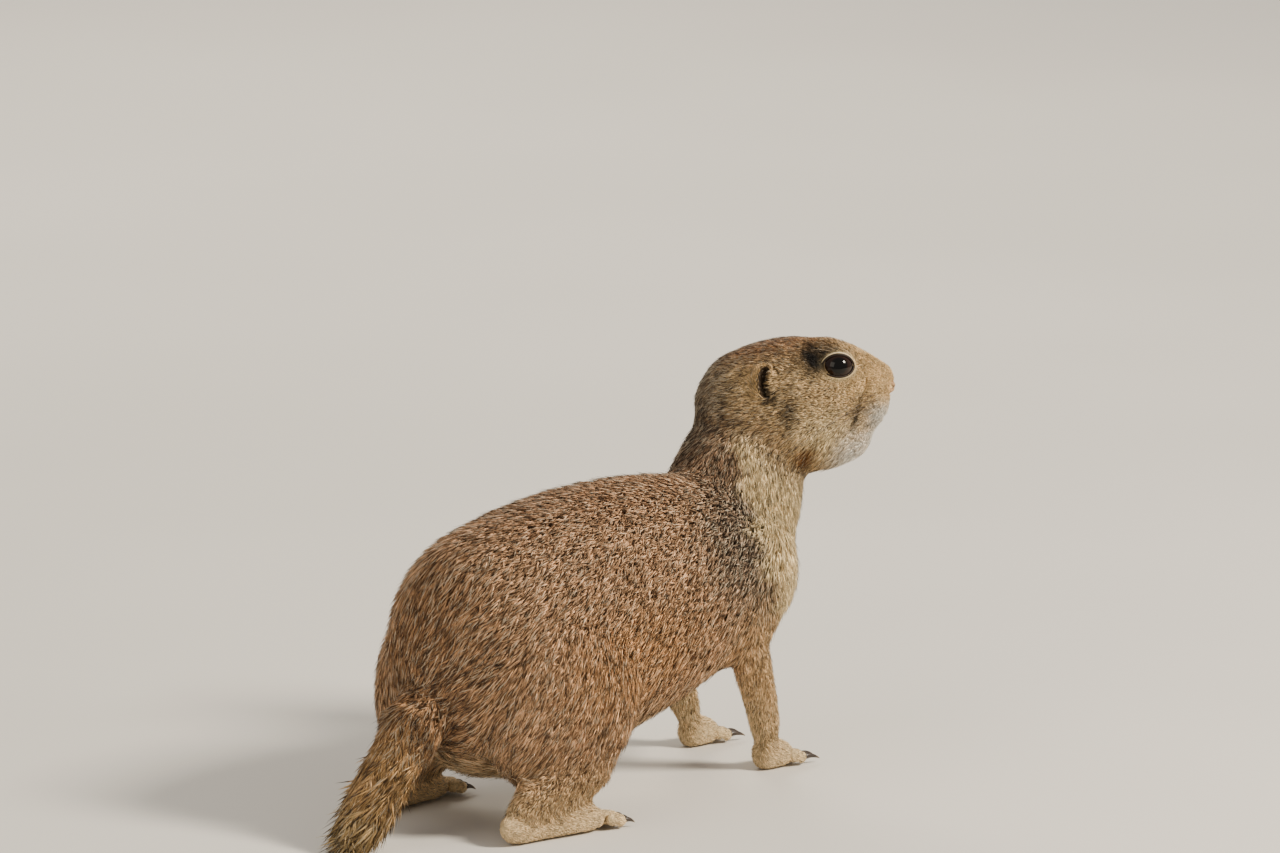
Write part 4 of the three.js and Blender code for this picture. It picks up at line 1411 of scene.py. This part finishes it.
def make_whiskers(settings):
    """Whiskers as one curve of thin tapered hairs, made a mesh."""
    rng = np.random.default_rng(settings.coat.seed + 1)
    curve = bpy.data.curves.new("whiskers", "CURVE")
    curve.dimensions = "3D"
    curve.bevel_depth = WHISKER_RADIUS_MM * MM
    curve.bevel_resolution = 1
    curve.use_fill_caps = True
    for path in whisker_paths(rng):
        line = curve.splines.new("POLY")
        line.points.add(len(path) - 1)
        for point, place, share in zip(line.points, path, np.linspace(0, 1, len(path))):
            point.co = (*place, 1)
            point.radius = 1 - 0.8 * share
    make_active(linked("whiskers", curve))
    bpy.ops.object.convert(target="MESH")
    return finish_piece(bpy.context.object, whisker_material(), "coat")


# Stage

def camera_axes():
    """Right, up and forward of the camera."""
    cos_turn, sin_turn = math.cos(CAMERA_TURN), math.sin(CAMERA_TURN)
    cos_rise, sin_rise = math.cos(CAMERA_RISE), math.sin(CAMERA_RISE)
    right = Vector((cos_turn, sin_turn, 0))
    forward = Vector((-sin_turn * cos_rise, cos_turn * cos_rise, -sin_rise))
    return right, right.cross(forward), forward


def aim_point():
    """What the middle of the photo looks at."""
    right, up, _ = camera_axes()
    off_right = (PHOTO_EYE[0] - PHOTO_SIZE[0] / 2) / PHOTO_SCALE
    off_down = (PHOTO_EYE[1] - PHOTO_SIZE[1] / 2) / PHOTO_SCALE
    return node_middle("eye_right") - right * off_right + up * off_down


def make_camera():
    """The photo's view."""
    right, up, forward = camera_axes()
    camera = linked("camera", bpy.data.cameras.new("camera"))
    camera.matrix_world = Matrix((right, up, -forward)).transposed().to_4x4()
    camera.location = aim_point() - forward * CAMERA_DISTANCE
    camera.data.sensor_width = SENSOR
    camera.data.lens = SENSOR * CAMERA_DISTANCE * PHOTO_SCALE / PHOTO_SIZE[0]
    bpy.context.scene.camera = camera


def make_lamp(lamp, power):
    """A square lamp placed from the aim point along the camera's axes, turned to the animal."""
    right, up, forward = camera_axes()
    offset = right * lamp.right + up * lamp.up - forward * lamp.near
    light = bpy.data.lights.new(lamp.name, "AREA")
    light.size = lamp.size
    light.energy = power
    light.color = linear(LAMP_TINT)
    stand = linked(lamp.name, light)
    stand.location = aim_point() + offset
    stand.rotation_euler = (-offset).to_track_quat("-Z", "Y").to_euler()


def make_stage(settings):
    """Floor, soft light, surroundings and camera."""
    stage = settings.stage
    make_camera()
    deselect_all()
    bpy.ops.mesh.primitive_plane_add(size=FLOOR_SIZE)
    floor = bpy.context.object
    floor.name = "floor"
    floor.data.materials.append(floor_material(stage))
    for lamp in LAMPS:
        make_lamp(lamp, getattr(stage, lamp.power))
    world = bpy.data.worlds.new("surroundings")
    world.use_nodes = True
    background = world.node_tree.nodes["Background"]
    background.inputs["Color"].default_value = opaque(linear(SKY_TINT))
    background.inputs["Strength"].default_value = stage.sky
    bpy.context.scene.world = world


class PrairieDogSettings(bpy.types.PropertyGroup):
    """All that a user may change."""

    colours: PointerProperty(type=PrairieDogColours)
    coat: PointerProperty(type=PrairieDogCoat)
    stage: PointerProperty(type=PrairieDogStage)


class PRAIRIEDOG_OT_skin(bpy.types.Operator):
    """Make the skin with its folds and markings"""

    bl_idname = "prairie_dog.skin"
    bl_label = "Skin"

    def execute(self, context):
        make_skin(context.scene.prairie_dog)
        return {"FINISHED"}


class PRAIRIEDOG_OT_eyes(bpy.types.Operator):
    """Make both eyeballs"""

    bl_idname = "prairie_dog.eyes"
    bl_label = "Eyes"

    def execute(self, context):
        material = eye_material()
        for name, side in SIDES.items():
            finish_piece(make_eye(name, side), material, "eye", f"eye_{name}")
        return {"FINISHED"}


class PRAIRIEDOG_OT_lids(bpy.types.Operator):
    """Make the eyelids"""

    bl_idname = "prairie_dog.lids"
    bl_label = "Eyelids"

    def execute(self, context):
        material = lid_material(context.scene.prairie_dog.colours)
        lids = joined([make_lid(side) for side in SIDES.values()], "eyelids")
        finish_piece(lids, material, "coat")
        return {"FINISHED"}


class PRAIRIEDOG_OT_nose(bpy.types.Operator):
    """Make the nose pad with its nostrils"""

    bl_idname = "prairie_dog.nose"
    bl_label = "Nose"

    def execute(self, context):
        make_nose(context.scene.prairie_dog)
        return {"FINISHED"}


class PRAIRIEDOG_OT_claws(bpy.types.Operator):
    """Make the claws of all four feet"""

    bl_idname = "prairie_dog.claws"
    bl_label = "Claws"

    def execute(self, context):
        make_claws(context.scene.prairie_dog)
        return {"FINISHED"}


class PRAIRIEDOG_OT_coat(bpy.types.Operator):
    """Cover the skin with tufts"""

    bl_idname = "prairie_dog.coat"
    bl_label = "Coat"

    def execute(self, context):
        make_coat(context.scene.prairie_dog)
        return {"FINISHED"}


class PRAIRIEDOG_OT_whiskers(bpy.types.Operator):
    """Make the whiskers"""

    bl_idname = "prairie_dog.whiskers"
    bl_label = "Whiskers"

    def execute(self, context):
        make_whiskers(context.scene.prairie_dog)
        return {"FINISHED"}


class PRAIRIEDOG_OT_stage(bpy.types.Operator):
    """Set up the floor, light and camera"""

    bl_idname = "prairie_dog.stage"
    bl_label = "Stage"

    def execute(self, context):
        make_stage(context.scene.prairie_dog)
        return {"FINISHED"}


PIECES = (
    PRAIRIEDOG_OT_skin,
    PRAIRIEDOG_OT_eyes,
    PRAIRIEDOG_OT_lids,
    PRAIRIEDOG_OT_nose,
    PRAIRIEDOG_OT_claws,
    PRAIRIEDOG_OT_coat,
    PRAIRIEDOG_OT_whiskers,
    PRAIRIEDOG_OT_stage,
)


class PRAIRIEDOG_PT_pieces(bpy.types.Panel):
    """Lists the pieces and their sizes and colours"""

    bl_label = "Prairie dog"
    bl_space_type = "VIEW_3D"
    bl_region_type = "UI"
    bl_category = "Prairie dog"

    def draw(self, context):
        settings = context.scene.prairie_dog
        for piece in PIECES:
            self.layout.operator(piece.bl_idname)
        for group in (settings.coat, settings.stage, settings.colours):
            box = self.layout.box()
            for name in group.__annotations__:
                box.prop(group, name)


CLASSES = (
    PrairieDogColours,
    PrairieDogCoat,
    PrairieDogStage,
    PrairieDogSettings,
    *PIECES,
    PRAIRIEDOG_PT_pieces,
)


def register():
    for cls in CLASSES:
        bpy.utils.register_class(cls)
    bpy.types.Scene.prairie_dog = PointerProperty(type=PrairieDogSettings)


def unregister():
    del bpy.types.Scene.prairie_dog
    for cls in reversed(CLASSES):
        bpy.utils.unregister_class(cls)


def main():
    register()
    bpy.ops.prairie_dog.skin()
    bpy.ops.prairie_dog.eyes()
    bpy.ops.prairie_dog.lids()
    bpy.ops.prairie_dog.nose()
    bpy.ops.prairie_dog.claws()
    bpy.ops.prairie_dog.coat()
    bpy.ops.prairie_dog.whiskers()
    bpy.ops.prairie_dog.stage()


if __name__ == "__main__":
    main()
